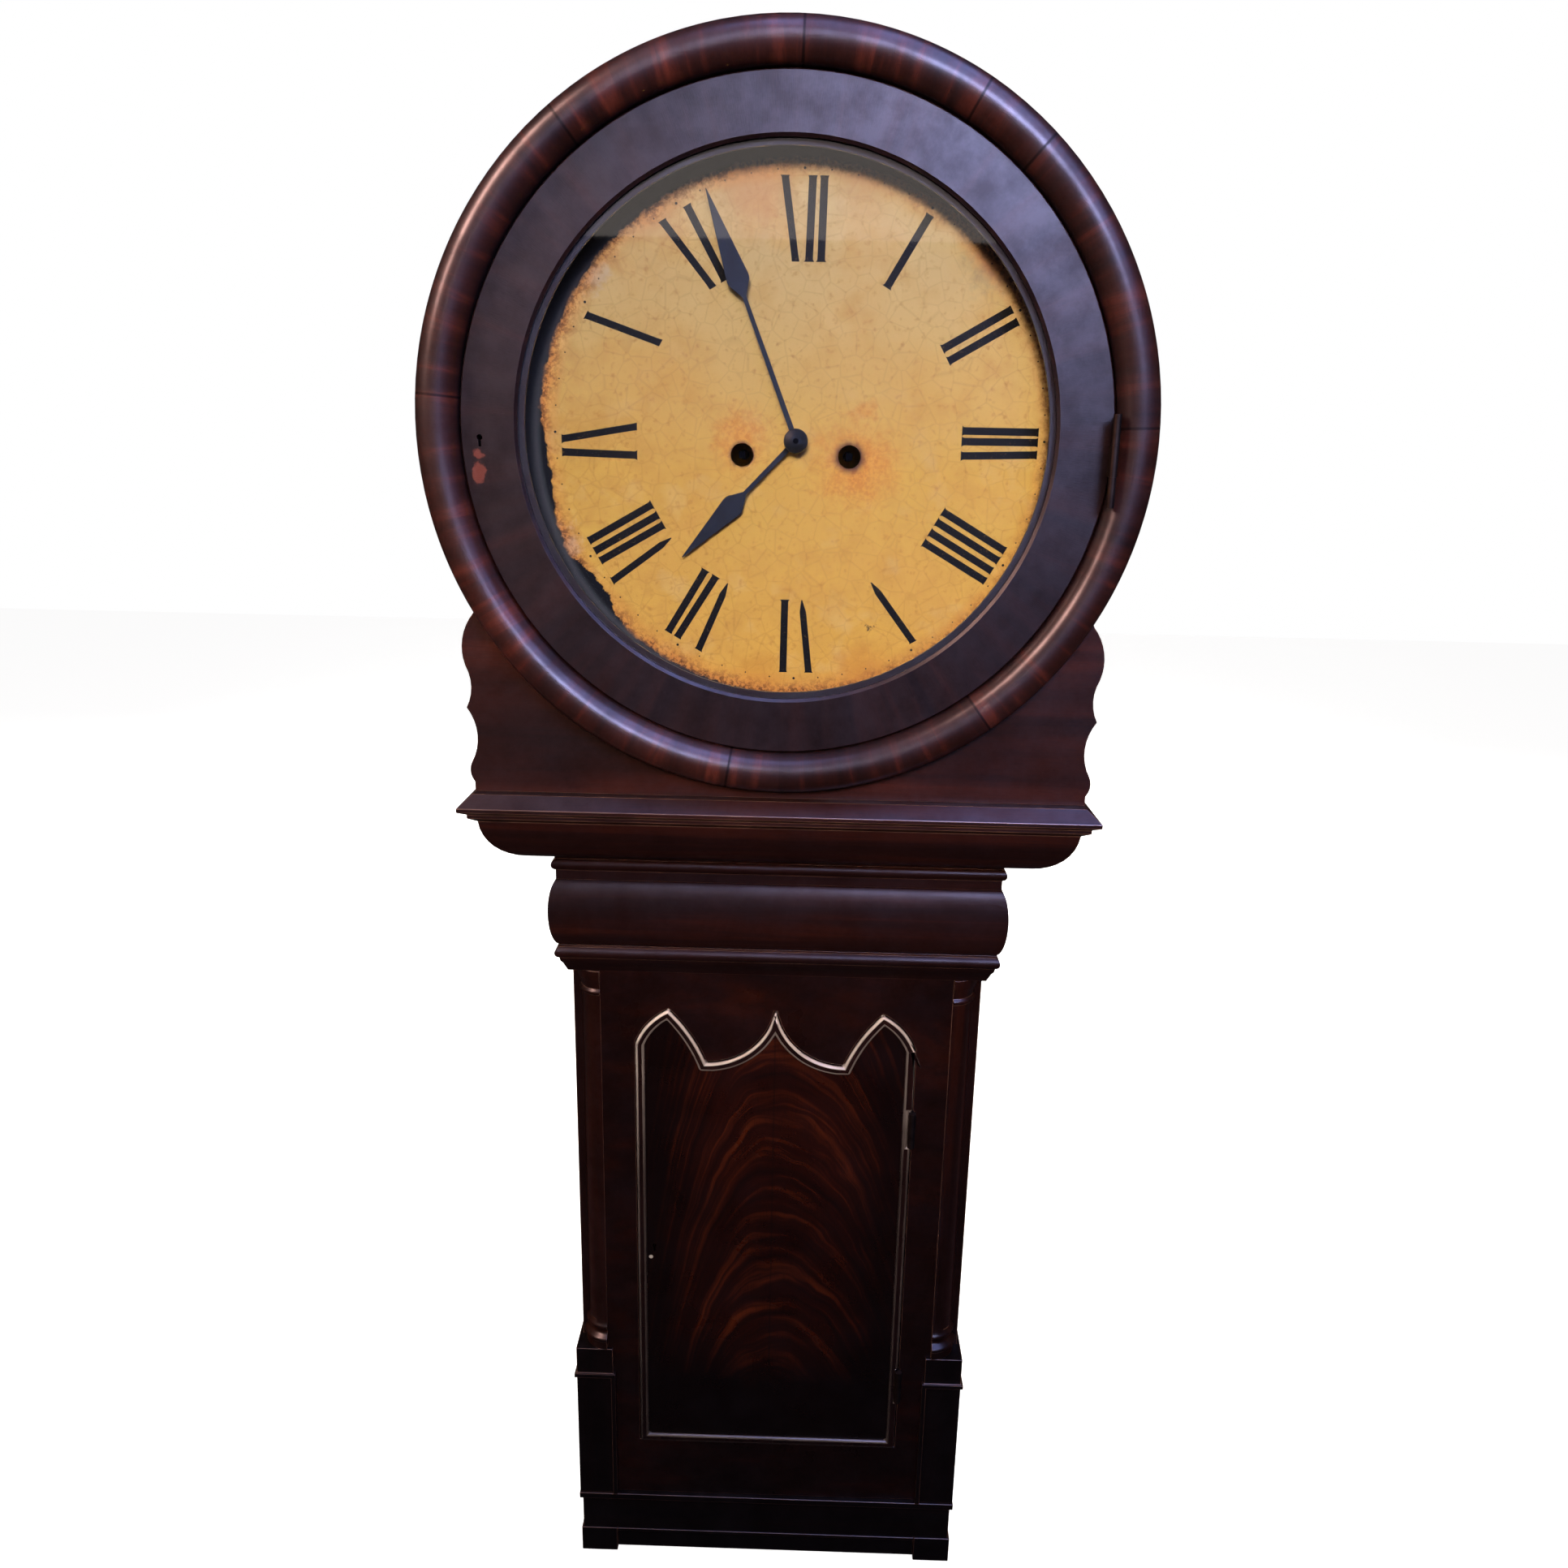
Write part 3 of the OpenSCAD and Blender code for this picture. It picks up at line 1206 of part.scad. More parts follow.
module pulley(x) {
    h = pulley_t / 2;
    turned_y(x, pulley_z, line_d - h) polygon([[axle_r + run_clear, 0], [pulley_r + 2, 0],
        [pulley_r + 2, 1], [pulley_r - 0.3, h], [pulley_r + 2, pulley_t - 1],
        [pulley_r + 2, pulley_t], [axle_r + run_clear, pulley_t]]);
}
module going_pulley() {
    color("#b08c42") pulley(mx + wind_dx);
}
module strike_pulley() {
    color("#b08c42") pulley(mx - wind_dx);
}
// The two falls of a gut line: one comes off the barrel, the other is tied to the seatboard
module gut_line(x) {
    post_z(x - fall_x, line_d, pulley_z, barrel_z, line_r);
    post_z(x + fall_x, line_d, pulley_z, seat_top, line_r);
}
module going_line() {
    color("#c8b890") gut_line(mx + wind_dx);
}
module strike_line() {
    color("#c8b890") gut_line(mx - wind_dx);
}

backboard();
trunk_sides();
trunk_front_frame();
quarter_columns();
pedestals();
base_box();
skirting_board();
feet();
bottom_board();
lower_throat_moulding();
cushion_moulding();
upper_throat_moulding();
cornice_moulding();
hood_front_board();
hood_sides();
drum_shell();
bezel_torus();
seatboard();
dial_hinge_frame_leaf();
trunk_hinge_frame_leaves();
dial_door_ring();
dial_door_bead();
dial_glass();
dial_door_lock();
dial_door_bolt();
dial_hinge_door_leaf();
trunk_door_panel();
trunk_door_bead();
trunk_door_lock();
trunk_door_bolt();
trunk_hinge_door_leaves();
back_plate();
front_plate();
plate_pillars();
back_cock();
dial_plate();
minute_hand();
cannon_pinion();
centre_wheel();
minute_wheel();
hour_wheel();
hour_hand();
great_wheel();
third_wheel();
escape_wheel();
pallet_arbor();
going_barrel();
strike_barrel();
bell();
bell_stand();
hammer();
pendulum_rod();
pendulum_bob();
rating_nut();
going_weight();
strike_weight();
going_pulley();
strike_pulley();
going_line();
strike_line();
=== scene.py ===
import math

import bmesh
import bpy
from mathutils import Matrix, Vector


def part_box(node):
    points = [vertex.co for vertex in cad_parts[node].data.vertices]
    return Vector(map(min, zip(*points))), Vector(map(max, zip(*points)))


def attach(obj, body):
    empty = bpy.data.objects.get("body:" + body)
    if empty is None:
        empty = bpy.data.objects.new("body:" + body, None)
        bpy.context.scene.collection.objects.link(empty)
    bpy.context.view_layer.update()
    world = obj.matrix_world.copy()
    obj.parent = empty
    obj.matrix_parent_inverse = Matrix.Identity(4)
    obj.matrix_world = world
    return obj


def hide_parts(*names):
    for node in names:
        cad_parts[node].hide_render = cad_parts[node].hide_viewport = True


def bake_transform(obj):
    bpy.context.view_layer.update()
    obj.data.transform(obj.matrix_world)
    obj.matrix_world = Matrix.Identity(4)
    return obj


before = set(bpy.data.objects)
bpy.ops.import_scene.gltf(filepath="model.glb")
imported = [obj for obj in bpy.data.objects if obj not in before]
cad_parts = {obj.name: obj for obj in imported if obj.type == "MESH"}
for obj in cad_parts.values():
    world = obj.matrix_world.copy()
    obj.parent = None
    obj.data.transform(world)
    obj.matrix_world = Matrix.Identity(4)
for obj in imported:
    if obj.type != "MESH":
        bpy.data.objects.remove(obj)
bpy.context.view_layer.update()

bl_info = {
    "name": "Dial clock finishes",
    "version": (1, 0, 0),
    "blender": (4, 5, 0),
    "location": "View3D > Sidebar > Clock",
    "description": "Veneers, paint and metal finishes of a drum-headed wall dial clock",
    "category": "Object",
}

MM = 1000  # millimetres in a metre


def middle(node):
    """Centre of a CAD node as seen from the front, in millimetres across and up"""
    low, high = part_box(node)
    return (low.x + high.x) / 2 * MM, (low.z + high.z) / 2 * MM


# Places on the front, in millimetres across and up
RING_CENTRE = middle("bezel_torus")
RING_REACH = 230  # middle of the bezel's round, from its centre
HANDS_CENTRE = middle("dial_plate")
LEFT_HOLE = (HANDS_CENTRE[0] - 38, HANDS_CENTRE[1] - 10)
RIGHT_HOLE = (HANDS_CENTRE[0] + 38, HANDS_CENTRE[1] - 10)
HOLE_RADIUS = 7.2
OILED = 7  # reach of the black oil on the arbors' ends
LOCK_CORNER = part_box("dial_door_lock")[0]
KEYHOLE = (LOCK_CORNER.x * MM + 9, LOCK_CORNER.z * MM + 14)
BRUISE = (-105, 322)  # polish knocked off down to pale wood, by the trunk door's keyhole
FLAME_PORES = (11, 200)  # width and length of the door veneer's pores

DIAL_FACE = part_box("dial_plate")[0].y
INK_THICKNESS = 0.15  # millimetres that the numerals stand proud
SHARP_EDGE = math.radians(32)  # sharper edges than this are rounded

# Thick strokes of the chapter ring's numerals by hour, each as the side offset at the rim and
# at the inner end, in millimetres; then the slanting strokes, and those that end in a point
UPRIGHTS = {
    1: [(0.9, 0.4)],
    2: [(-3.2, -3.2), (5.8, 5.8)],
    3: [(-6.3, -6.3), (0.6, 0.9), (9.0, 10.7)],
    4: [(-9.2, -9.2), (-0.9, -0.9), (7.6, 7.6), (16.1, 16.1)],
    6: [(8.1, 7.7)],
    7: [(3.0, 1.0), (10.7, 9.8)],
    8: [(-6.3, -6.3), (1.6, 1.6), (9.9, 9.9)],
    9: [(-13.6, -14.8)],
    11: [(5.7, 5.0)],
    12: [(5.5, 4.1), (13.2, 12.3)],
}
SLANTS = {
    5: (-3.9, 3.0), 6: (-10.9, -4.7), 7: (-15.1, -8.9), 8: (-23.0, -17.0),
    9: (-4.7, 4.8), 10: (-7.0, 3.8), 11: (-13.7, -4.4), 12: (-13.2, -5.0),
}
POINTED = (5, 6, 7, 8)


def linear(hex_colour):
    """Linear colour of an sRGB hex value"""
    channels = [int(hex_colour[i:i + 2], 16) / 255 for i in (1, 3, 5)]
    return tuple(c / 12.92 if c <= 0.04045 else ((c + 0.055) / 1.055) ** 2.4 for c in channels)


def colour(label, what, hex_value):
    """A user's colour, given as an sRGB hex value"""
    return bpy.props.FloatVectorProperty(
        name=label, description=what, default=linear(hex_value), subtype="COLOR", min=0, max=1)


def size(label, what, millimetres):
    """A user's size, given in millimetres"""
    return bpy.props.FloatProperty(
        name=label, description=what, default=millimetres / MM, subtype="DISTANCE",
        unit="LENGTH", min=0)


class ClockFinishes(bpy.types.PropertyGroup):
    """Colours of the clock's finishes"""
    wood_dark: colour("Dark wood", "Colour of the dark figure in the case veneer", "#110503")
    wood_mid: colour("Wood", "Main colour of the case veneer", "#1A0805")
    wood_light: colour("Light wood", "Colour of the light figure in the case veneer", "#2E1007")
    hood_dark: colour("Dark hood wood", "Dark figure in the hood's veneer", "#140806")
    hood_mid: colour("Hood wood", "Main colour of the hood's veneer", "#260F0B")
    hood_light: colour("Light hood wood", "Light figure in the hood's veneer", "#3A1811")
    flame_light: colour("Flame", "Colour of the light plume in the door veneer", "#562410")
    paint: colour("Dial paint", "Colour of the aged dial paint", "#E2B55E")
    brass: colour("Brass", "Colour of the movement's brass", "#B8923F")


class ClockDial(bpy.types.PropertyGroup):
    """Sizes of what is painted on the dial"""
    stroke_out: size("Outer end", "Distance of the numerals' outer ends from their centre", 168)
    stroke_in: size("Inner end", "Distance of the numerals' inner ends from their centre", 114.4)
    stroke_width: size("Stroke width", "Width of the numerals' strokes", 5.2)
    dot_ring: size("Minute dots", "Distance of the minute dots from the centre", 172.4)
    off_x: bpy.props.FloatProperty(
        name="Sideways", description="How far the chapter ring sits right of the hands' centre",
        default=0.0021, subtype="DISTANCE", unit="LENGTH")
    off_z: bpy.props.FloatProperty(
        name="Up", description="How far the chapter ring sits above the hands' centre",
        default=0.003, subtype="DISTANCE", unit="LENGTH")


class ClockStage(bpy.types.PropertyGroup):
    """Camera and lamps"""
    eye: bpy.props.FloatVectorProperty(
        name="Camera", description="Place of the camera", default=(0.0165, -1.0907, 1.0067),
        subtype="TRANSLATION", unit="LENGTH")
    turn: bpy.props.FloatProperty(
        name="Turn", description="Camera's turn to the left", default=math.radians(0.865),
        subtype="ANGLE", unit="ROTATION")
    tilt: bpy.props.FloatProperty(
        name="Tilt", description="Camera's tilt downward", default=math.radians(15.53),
        subtype="ANGLE", unit="ROTATION")
    roll: bpy.props.FloatProperty(
        name="Roll", description="Camera's roll", default=math.radians(1.2),
        subtype="ANGLE", unit="ROTATION")
    lens: bpy.props.FloatProperty(
        name="Lens", description="Focal length on a 36 mm sensor", default=27.69, unit="CAMERA",
        min=1)
    daylight: bpy.props.FloatProperty(
        name="Daylight", description="Power of the wide window behind the camera", default=14,
        unit="POWER", min=0)
    lamp: bpy.props.FloatProperty(
        name="Lamp", description="Power of the lamp above and behind the camera", default=6.5,
        unit="POWER", min=0)
    sky: bpy.props.FloatProperty(
        name="Sky", description="Power of the blue skylight at the right", default=16,
        unit="POWER", min=0)


def fill(tree, socket, value):
    """Sets a socket, or links it to an output; a node stands for its first visible output"""
    if isinstance(value, bpy.types.Node):
        value = next(output for output in value.outputs if output.enabled)
    if isinstance(value, bpy.types.NodeSocket):
        tree.links.new(value, socket)
    elif socket.type == "RGBA":
        socket.default_value = (*value, 1)
    else:
        socket.default_value = value


def add(tree, kind, *values, stops=(), **more):
    """Adds a shader node. The values fill its visible sockets in order; a capitalised name is
    a socket too, and any other a setting. Stops are (place, colour) pairs of a colour ramp."""
    made = tree.nodes.new("ShaderNode" + kind)
    for name, value in more.items():
        if name.islower():
            setattr(made, name, value)
    shown = [socket for socket in made.inputs if socket.enabled]
    named = [(made.inputs[name], value) for name, value in more.items() if not name.islower()]
    for socket, value in (*zip(shown, values), *named):
        fill(tree, socket, value)
    for i, (place, tone) in enumerate(stops):
        entry = made.color_ramp.elements[i] if i < 2 else made.color_ramp.elements.new(place)
        entry.position = place
        entry.color = (*tone, 1)
    return made


def start_material(name, **sockets):
    """A new material, its tree and its Principled shader with constant sockets set"""
    made = bpy.data.materials.new(name)
    made.use_nodes = True
    shader = made.node_tree.nodes["Principled BSDF"]
    for socket, value in sockets.items():
        fill(made.node_tree, shader.inputs[socket.replace("_", " ")], value)
    return made, made.node_tree, shader


def front_view(tree):
    """Place of a surface point across and up, in millimetres, with its depth left out"""
    place = add(tree, "TexCoord").outputs["Object"]
    return add(tree, "VectorMath", place, (MM, 0, MM), operation="MULTIPLY")


def offset(tree, centre):
    """Offset from a centre across and up, in millimetres"""
    return add(tree, "VectorMath", front_view(tree), (centre[0], 0, centre[1]),
               operation="SUBTRACT")


def around(tree, centre):
    """Angle clockwise from the top, in radians, and distance from a centre, in millimetres"""
    off = offset(tree, centre)
    parts = add(tree, "SeparateXYZ", off)
    angle = add(tree, "Math", parts.outputs["X"], parts.outputs["Z"], operation="ARCTAN2")
    return angle, add(tree, "VectorMath", off, operation="LENGTH")


def apart(tree, value, other):
    """How far a value is from another, without its sign"""
    off = add(tree, "Math", value, other, operation="SUBTRACT")
    return add(tree, "Math", off, operation="ABSOLUTE")


def spot(tree, centre, near, far, ragged=None):
    """One at a centre, falling to nought between two distances in millimetres"""
    reach = add(tree, "VectorMath", offset(tree, centre), operation="LENGTH")
    if ragged is not None:
        reach = add(tree, "Math", reach, ragged, operation="ADD")
    return add(tree, "MapRange", reach, near, far, 1, 0, interpolation_type="SMOOTHSTEP")


def clouds(tree, millimetres, detail, reads=(0, 1), gives=(0, 1), rough=0.55):
    """Soft clouds of about this size; the range that is read is stretched to the one given"""
    place = add(tree, "TexCoord").outputs["Object"]
    cloud = add(tree, "TexNoise", place, Scale=MM / millimetres, Detail=detail, Roughness=rough)
    return add(tree, "MapRange", cloud, *reads, *gives)


def laid(tree, tone, over, mask, strength=None):
    """A tone with an sRGB hex colour laid over it where the mask is one, at a strength"""
    if strength is not None:
        mask = add(tree, "Math", mask, strength, operation="MULTIPLY")
    return add(tree, "Mix", mask, tone, linear(over), data_type="RGBA")


def shaded(tree, tone, shade, strength=1):
    """A tone made darker or lighter by a grey value, at a strength"""
    grey = add(tree, "CombineColor", shade, shade, shade)
    return add(tree, "Mix", strength, tone, grey, data_type="RGBA", blend_type="MULTIPLY")


def feather_place(tree, width, length):
    """Arches that rise beside the seam, where two leaves meet, and droop outward, steeper in
    the left leaf than in the right; measured across the arches and along them"""
    parts = add(tree, "SeparateXYZ", add(tree, "TexCoord").outputs["Object"])
    off = parts.outputs["X"]
    side = add(tree, "Math", off, operation="ABSOLUTE")
    # The arches droop with the distance from the seam, in units of 50 mm, to this power
    bend = add(tree, "Math", add(tree, "Math", side, 20, operation="MULTIPLY"), 2.3,
               operation="POWER")
    # Metres of droop at 50 mm, in the left leaf and in the right
    droop = add(tree, "MapRange", off, -0.02, 0.02, 0.055, 0.026)
    sway = clouds(tree, 60, 2, gives=(-0.017, 0.017))
    fall = add(tree, "Math", bend, droop, operation="MULTIPLY")
    rise = add(tree, "Math", parts.outputs["Z"], fall, operation="ADD")
    rise = add(tree, "Math", rise, sway, operation="ADD")
    return add(tree, "CombineXYZ", X=add(tree, "Math", rise, MM / width, operation="MULTIPLY"),
               Z=add(tree, "Math", off, MM / length, operation="MULTIPLY"))


def grain_place(tree, lay, width, length):
    """Surface point measured in grain streaks of a width and a length in millimetres"""
    if lay == "flame":
        return feather_place(tree, width, length)
    if lay == "round":
        angle, reach = around(tree, RING_CENTRE)
        across = add(tree, "Math", angle, RING_REACH / width, operation="MULTIPLY")
        along = add(tree, "Math", reach, 1 / length, operation="MULTIPLY")
        return add(tree, "CombineXYZ", X=across, Z=along)
    across, along = MM / width, MM / length
    scale = (across, across, along) if lay == "upright" else (along, along, across)
    place = add(tree, "TexCoord").outputs["Object"]
    return add(tree, "VectorMath", place, scale, operation="MULTIPLY")


def flame_figure(tree, figure, dark):
    """The flame is brightest in the middle and dies away to plain dark wood at the sides and
    the foot; a dark line marks the seam of its two leaves"""
    parts = add(tree, "SeparateXYZ", front_view(tree))
    side = add(tree, "Math", parts.outputs["X"], operation="ABSOLUTE")
    loose = clouds(tree, 40, 3, gives=(-30, 30))
    away = add(tree, "Math", side, loose, operation="ADD")
    height = add(tree, "Math", parts.outputs["Z"], loose, operation="ADD")
    # Full up to 55 mm from the seam and faint past 95 mm, and gone 190 mm above the floor
    inside = add(tree, "MapRange", away, 55, 95, 1, 0.12)
    above = add(tree, "MapRange", height, 190, 245)
    show = add(tree, "Math", inside, above, operation="MULTIPLY")
    figure = add(tree, "Mix", show, dark, figure, data_type="RGBA")
    figure = laid(tree, figure, "#0A0403", add(tree, "MapRange", side, 0.3, 1, 0.5, 0))
    # The bruise is 3 to 4 mm across
    return laid(tree, figure, "#E8DCD2", spot(tree, BRUISE, 1.4, 2.2))


def jointed(tree, tone, skin, joints):
    """Colour and polish of short pieces butted round the ring at these angles in degrees.
    Each differs a little from its neighbours, and a dark line parts them."""
    angle, reach = around(tree, RING_CENTRE)
    for k, at in enumerate(joints):
        gap = add(tree, "Math", angle, math.radians(at), operation="SUBTRACT")
        far = add(tree, "Math", add(tree, "Math", gap, operation="ABSOLUTE"), reach,
                  operation="MULTIPLY")
        # The line is a millimetre or two wide; past it the next piece begins
        line = add(tree, "MapRange", far, 0.4, 1.3, 0.9, 0)
        later = add(tree, "MapRange", gap, -0.001, 0.001)
        # Lighter and glossier than the piece before, then darker and duller again
        shade, polish = ((1.3, 1.2), (0.74, 0.8))[k % 2]
        changed = add(tree, "Mix", 1, tone, (shade, shade, shade), data_type="RGBA",
                      blend_type="MULTIPLY")
        tone = add(tree, "Mix", later, tone, changed, data_type="RGBA")
        tone = laid(tree, tone, "#0A0504", line)
        sheen = add(tree, "MapRange", later, 0, 1, 1, polish)
        skin = add(tree, "Math", skin, sheen, operation="MULTIPLY")
        skin = add(tree, "Math", skin, add(tree, "MapRange", line, 0, 1, 1, 0.1),
                   operation="MULTIPLY")
    return tone, skin


def veneer(name, tones, lay, streak, roughness, coat=0.14, gloss=0.6, relief=0.25, joints=()):
    """Mahogany veneer under old French polish.
    The figure runs in streaks of a given width and length in millimetres. The wood has its
    roughness; the polish is a thin coat with a smoother one, and its gloss is how much of it is
    left, so reflections have clear edges over a duller wood. Relief is the pores' depth."""
    made, tree, shader = start_material(
        name, Roughness=roughness, Coat_Weight=gloss, Coat_Roughness=coat, Coat_IOR=1.5,
        Specular_IOR_Level=0.14)
    dark, mid, light = tones
    # Bands of figure about two streaks wide, in three tones
    grain = grain_place(tree, lay, *streak)
    broad = add(tree, "TexNoise", grain, Scale=0.5, Detail=6, Roughness=0.62, Distortion=0.5)
    figure = add(tree, "ValToRGB", broad, stops=[(0.3, dark), (0.75, light), (0.52, mid)])
    if lay == "flame":
        figure = flame_figure(tree, figure, dark)
        grain = grain_place(tree, "upright", *FLAME_PORES)
    # Pores: dark hairlines along the grain, a sixteenth of a streak wide. Age has bleached the
    # wood in wide clouds.
    fine = add(tree, "TexNoise", grain, Scale=16, Detail=2)
    tone = shaded(tree, figure, add(tree, "MapRange", fine, 0.34, 0.46, 0.6, 1), 0.8)
    tone = shaded(tree, tone, clouds(tree, 130, 3, (0.3, 0.7), (0.62, 1.25)))
    if gloss:
        # The polish has worn thin in small patches
        skin = clouds(tree, 22, 6, (0.35, 0.65), (gloss * 0.5, gloss * 1.15), 0.65)
        if joints:
            tone, skin = jointed(tree, tone, skin, joints)
        fill(tree, shader.inputs["Coat Weight"], skin)
    wear = clouds(tree, 45, 5, (0.35, 0.75), (roughness - 0.07, roughness + 0.16))
    fill(tree, shader.inputs["Base Color"], tone)
    fill(tree, shader.inputs["Roughness"], wear)
    fill(tree, shader.inputs["Normal"],
         add(tree, "Bump", Strength=relief, Distance=0.2 / MM, Height=fine))
    return made


def worn_edge_with_painted_highlight(name, tone, roughness=0.38, least=0.25, above=None):
    """Mahogany arris where handling has worn the polish, with a painted highlight: a pale line of
    light painted into its colour.
    Given a height in millimetres, the painted highlight shows on faces that look up, where light
    from above falls, and fades below it."""
    made, tree, shader = start_material(name, Roughness=roughness, Coat_Weight=0.3,
                                        Coat_Roughness=0.25)
    worn = clouds(tree, 40, 4, (0.3, 0.6), (least, 1))
    if above is not None:
        height = add(tree, "SeparateXYZ", front_view(tree)).outputs["Z"]
        facing = add(tree, "SeparateXYZ", add(tree, "TexCoord").outputs["Normal"]).outputs["Z"]
        # The painted highlight fades over the 90 mm below that height, and on faces that don't
        # look up
        for value, low, high in ((height, above - 90, above), (facing, -0.02, 0.25)):
            worn = add(tree, "Math", worn, add(tree, "MapRange", value, low, high, 0.25),
                       operation="MULTIPLY")
    # Painted highlight: the pale tone is laid over dark wood along the worn arris
    fill(tree, shader.inputs["Base Color"], laid(tree, linear("#1C0C08"), tone, worn))
    return made


def dial_paint(looks):
    """Oil paint on an iron plate, yellowed and crazed, with rust that creeps out of the winding
    holes and a brown ragged rim, past which the bare iron shows blue-grey."""
    made, tree, shader = start_material("aged_dial_paint", Roughness=0.6,
                                        Specular_IOR_Level=0.15)
    angle, reach = around(tree, HANDS_CENTRE)
    cx, cz = HANDS_CENTRE
    height = add(tree, "SeparateXYZ", front_view(tree)).outputs["Z"]
    # Paler and pinker toward the top, deep yellow at the foot
    pale = add(tree, "MapRange", height, cz - 20, cz + 150)
    deep = add(tree, "MapRange", height, cz - 60, cz - 175, 0, 0.85)
    tone = laid(tree, tuple(looks.paint), "#E6CC9E", pale)
    tone = laid(tree, tone, "#DEA94E", deep)
    # Handling and varnish: broad brown clouds, then smaller ones, paler ones and specks.
    # Size in millimetres, the range of the noise that shows, strength and colour
    for across, low, high, strength, shade in (
            (80, 0.42, 0.7, 0.6, "#D2A156"), (24, 0.48, 0.74, 0.5, "#BE8C4A"),
            (30, 0.56, 0.8, 0.5, "#F0CE98"), (5, 0.56, 0.74, 0.55, "#A2692F")):
        tone = laid(tree, tone, shade, clouds(tree, across, 5, (low, high), (0, strength)))
    # Fine craze lines, in cells of about 13 mm
    craze = add(tree, "TexVoronoi", add(tree, "TexCoord").outputs["Object"], Scale=MM / 13,
                feature="DISTANCE_TO_EDGE")
    tone = laid(tree, tone, "#8A5A2C", add(tree, "MapRange", craze, 0, 0.05, 0.2, 0))
    ragged = clouds(tree, 11, 7, gives=(-20, 20), rough=0.7)
    fine = clouds(tree, 3, 5, (0.44, 0.56), rough=0.7)
    # Rust: a stain with thick specks in it, as centre, spread and strength
    for centre, spread, strength in (
            ((LEFT_HOLE[0], LEFT_HOLE[1] + 8), 26, 0.5),
            ((RIGHT_HOLE[0] + 4, RIGHT_HOLE[1] - 6), 40, 0.8),
            ((cx + 49, cz + 21), 12, 0.5), ((cx - 40, cz + 10), 26, 0.35)):
        stain = add(tree, "Math", spot(tree, centre, 2, spread, ragged), strength,
                    operation="MULTIPLY")
        tone = laid(tree, tone, "#C8803A", stain, 0.8)
        tone = laid(tree, tone, "#A4602A", stain, fine)
    # A dark ring round each hole, gone at this reach
    frayed = add(tree, "Math", ragged, 0.12, operation="MULTIPLY")
    for hole, far in ((LEFT_HOLE, 11), (RIGHT_HOLE, 15)):
        tone = laid(tree, tone, "#3A2020", spot(tree, hole, HOLE_RADIUS, far, frayed))
    # Stains along the top and the foot, a painted shadow in the upper right corner, pale scuffs
    # at the
    #     # left and a small speck: place from the centre, full and faded reach, strength and
    #     colour
    for x, z, near, far, strength, shade in (
            (-30, 165, 4, 44, 0.7, "#A06C48"), (40, 168, 2, 30, 0.5, "#9C6E50"),
            # The purple-grey at the upper right is painted shadow, not a stain
            (132, 122, 6, 30, 0.85, "#4A3A40"), (-96, 140, 2, 26, 0.5, "#A87448"),
            (-140, 104, 3, 13, 0.8, "#E4D2BE"), (-166, -74, 4, 16, 0.75, "#D8C4BC"),
            (-150, 10, 4, 34, 0.25, "#A88048"), (52, -160, 4, 30, 0.6, "#A0642C"),
            (-24, -168, 4, 26, 0.45, "#B0742E"), (58, -132, 0.6, 2.2, 0.9, "#2A1C14")):
        tone = laid(tree, tone, shade, spot(tree, (cx + x, cz + z), near, far, ragged), strength)
    # The rim is browned from 166 mm out, and crumbs of dirt lie on it
    rim = add(tree, "Math", reach, add(tree, "Math", ragged, 0.45, operation="MULTIPLY"),
              operation="ADD")
    tone = laid(tree, tone, "#A86834", add(tree, "MapRange", rim, 166, 180, 0, 0.85))
    tone = laid(tree, tone, "#4A2818", add(tree, "MapRange", rim, 171, 181, 0, 0.9), fine)
    # Chips where the paint has left the iron at the left and lower left: the middle's angle in
    # degrees, half the width in radians and how far in they reach in millimetres
    chip = reach
    for at, half, depth in ((-97, 0.25, 6), (-127, 0.17, 8)):
        off = apart(tree, angle, math.radians(at))
        chip = add(tree, "Math", chip, add(tree, "MapRange", off, 0.3 * half, half, depth, 0),
                   operation="ADD")
    chip = add(tree, "Math", chip, add(tree, "Math", ragged, 0.3, operation="MULTIPLY"),
               operation="ADD")
    tone = laid(tree, tone, "#08090D", add(tree, "MapRange", chip, 181.5, 182.5))
    tone = laid(tree, tone, "#363844", add(tree, "MapRange", reach, 180, 184), 0.9)
    fill(tree, shader.inputs["Base Color"], tone)
    fill(tree, shader.inputs["Normal"],
         add(tree, "Bump", Strength=0.3, Distance=0.2 / MM, Height=craze))
    return made


def metal(name, tone, roughness, stain, metallic=1.0, darkened=()):
    """Old metal: a satin ground with darker tarnish in clouds, and black oil at given places"""
    made, tree, shader = start_material(name, Metallic=metallic, Roughness=roughness)
    base = laid(tree, tone, stain, clouds(tree, 9, 5, (0.4, 0.7)), 0.6)
    for place in darkened:
        base = laid(tree, base, "#121317", spot(tree, place, OILED, OILED + 1))
    fill(tree, shader.inputs["Base Color"], base)
    fill(tree, shader.inputs["Roughness"],
         clouds(tree, 3, 3, gives=(roughness - 0.08, roughness + 0.1)))
    return made


def finish(node, *materials):
    """Gives a CAD node its materials"""
    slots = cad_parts[node].data.materials
    slots.clear()
    for made in materials:
        slots.append(made)


def ease(node, width, worn=False, segments=2, clamp=True):
    """Rounds a CAD node's sharp edges by a width in millimetres.
    A worn edge takes the node's second material: worn polish with a painted highlight."""
    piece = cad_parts[node]
    mesh = piece.data
    if "custom_normal" in mesh.attributes:
        mesh.attributes.remove(mesh.attributes["custom_normal"])
    mesh.shade_smooth()
    joined = piece.modifiers.new("Joined", "WELD")
    joined.merge_threshold = 0.01 / MM
    eased = piece.modifiers.new("Eased edges", "BEVEL")
    eased.width = width / MM
    eased.segments = segments
    eased.use_clamp_overlap = clamp
    eased.limit_method = "ANGLE"
    eased.angle_limit = SHARP_EDGE
    eased.harden_normals = True
    eased.material = 1 if worn else -1


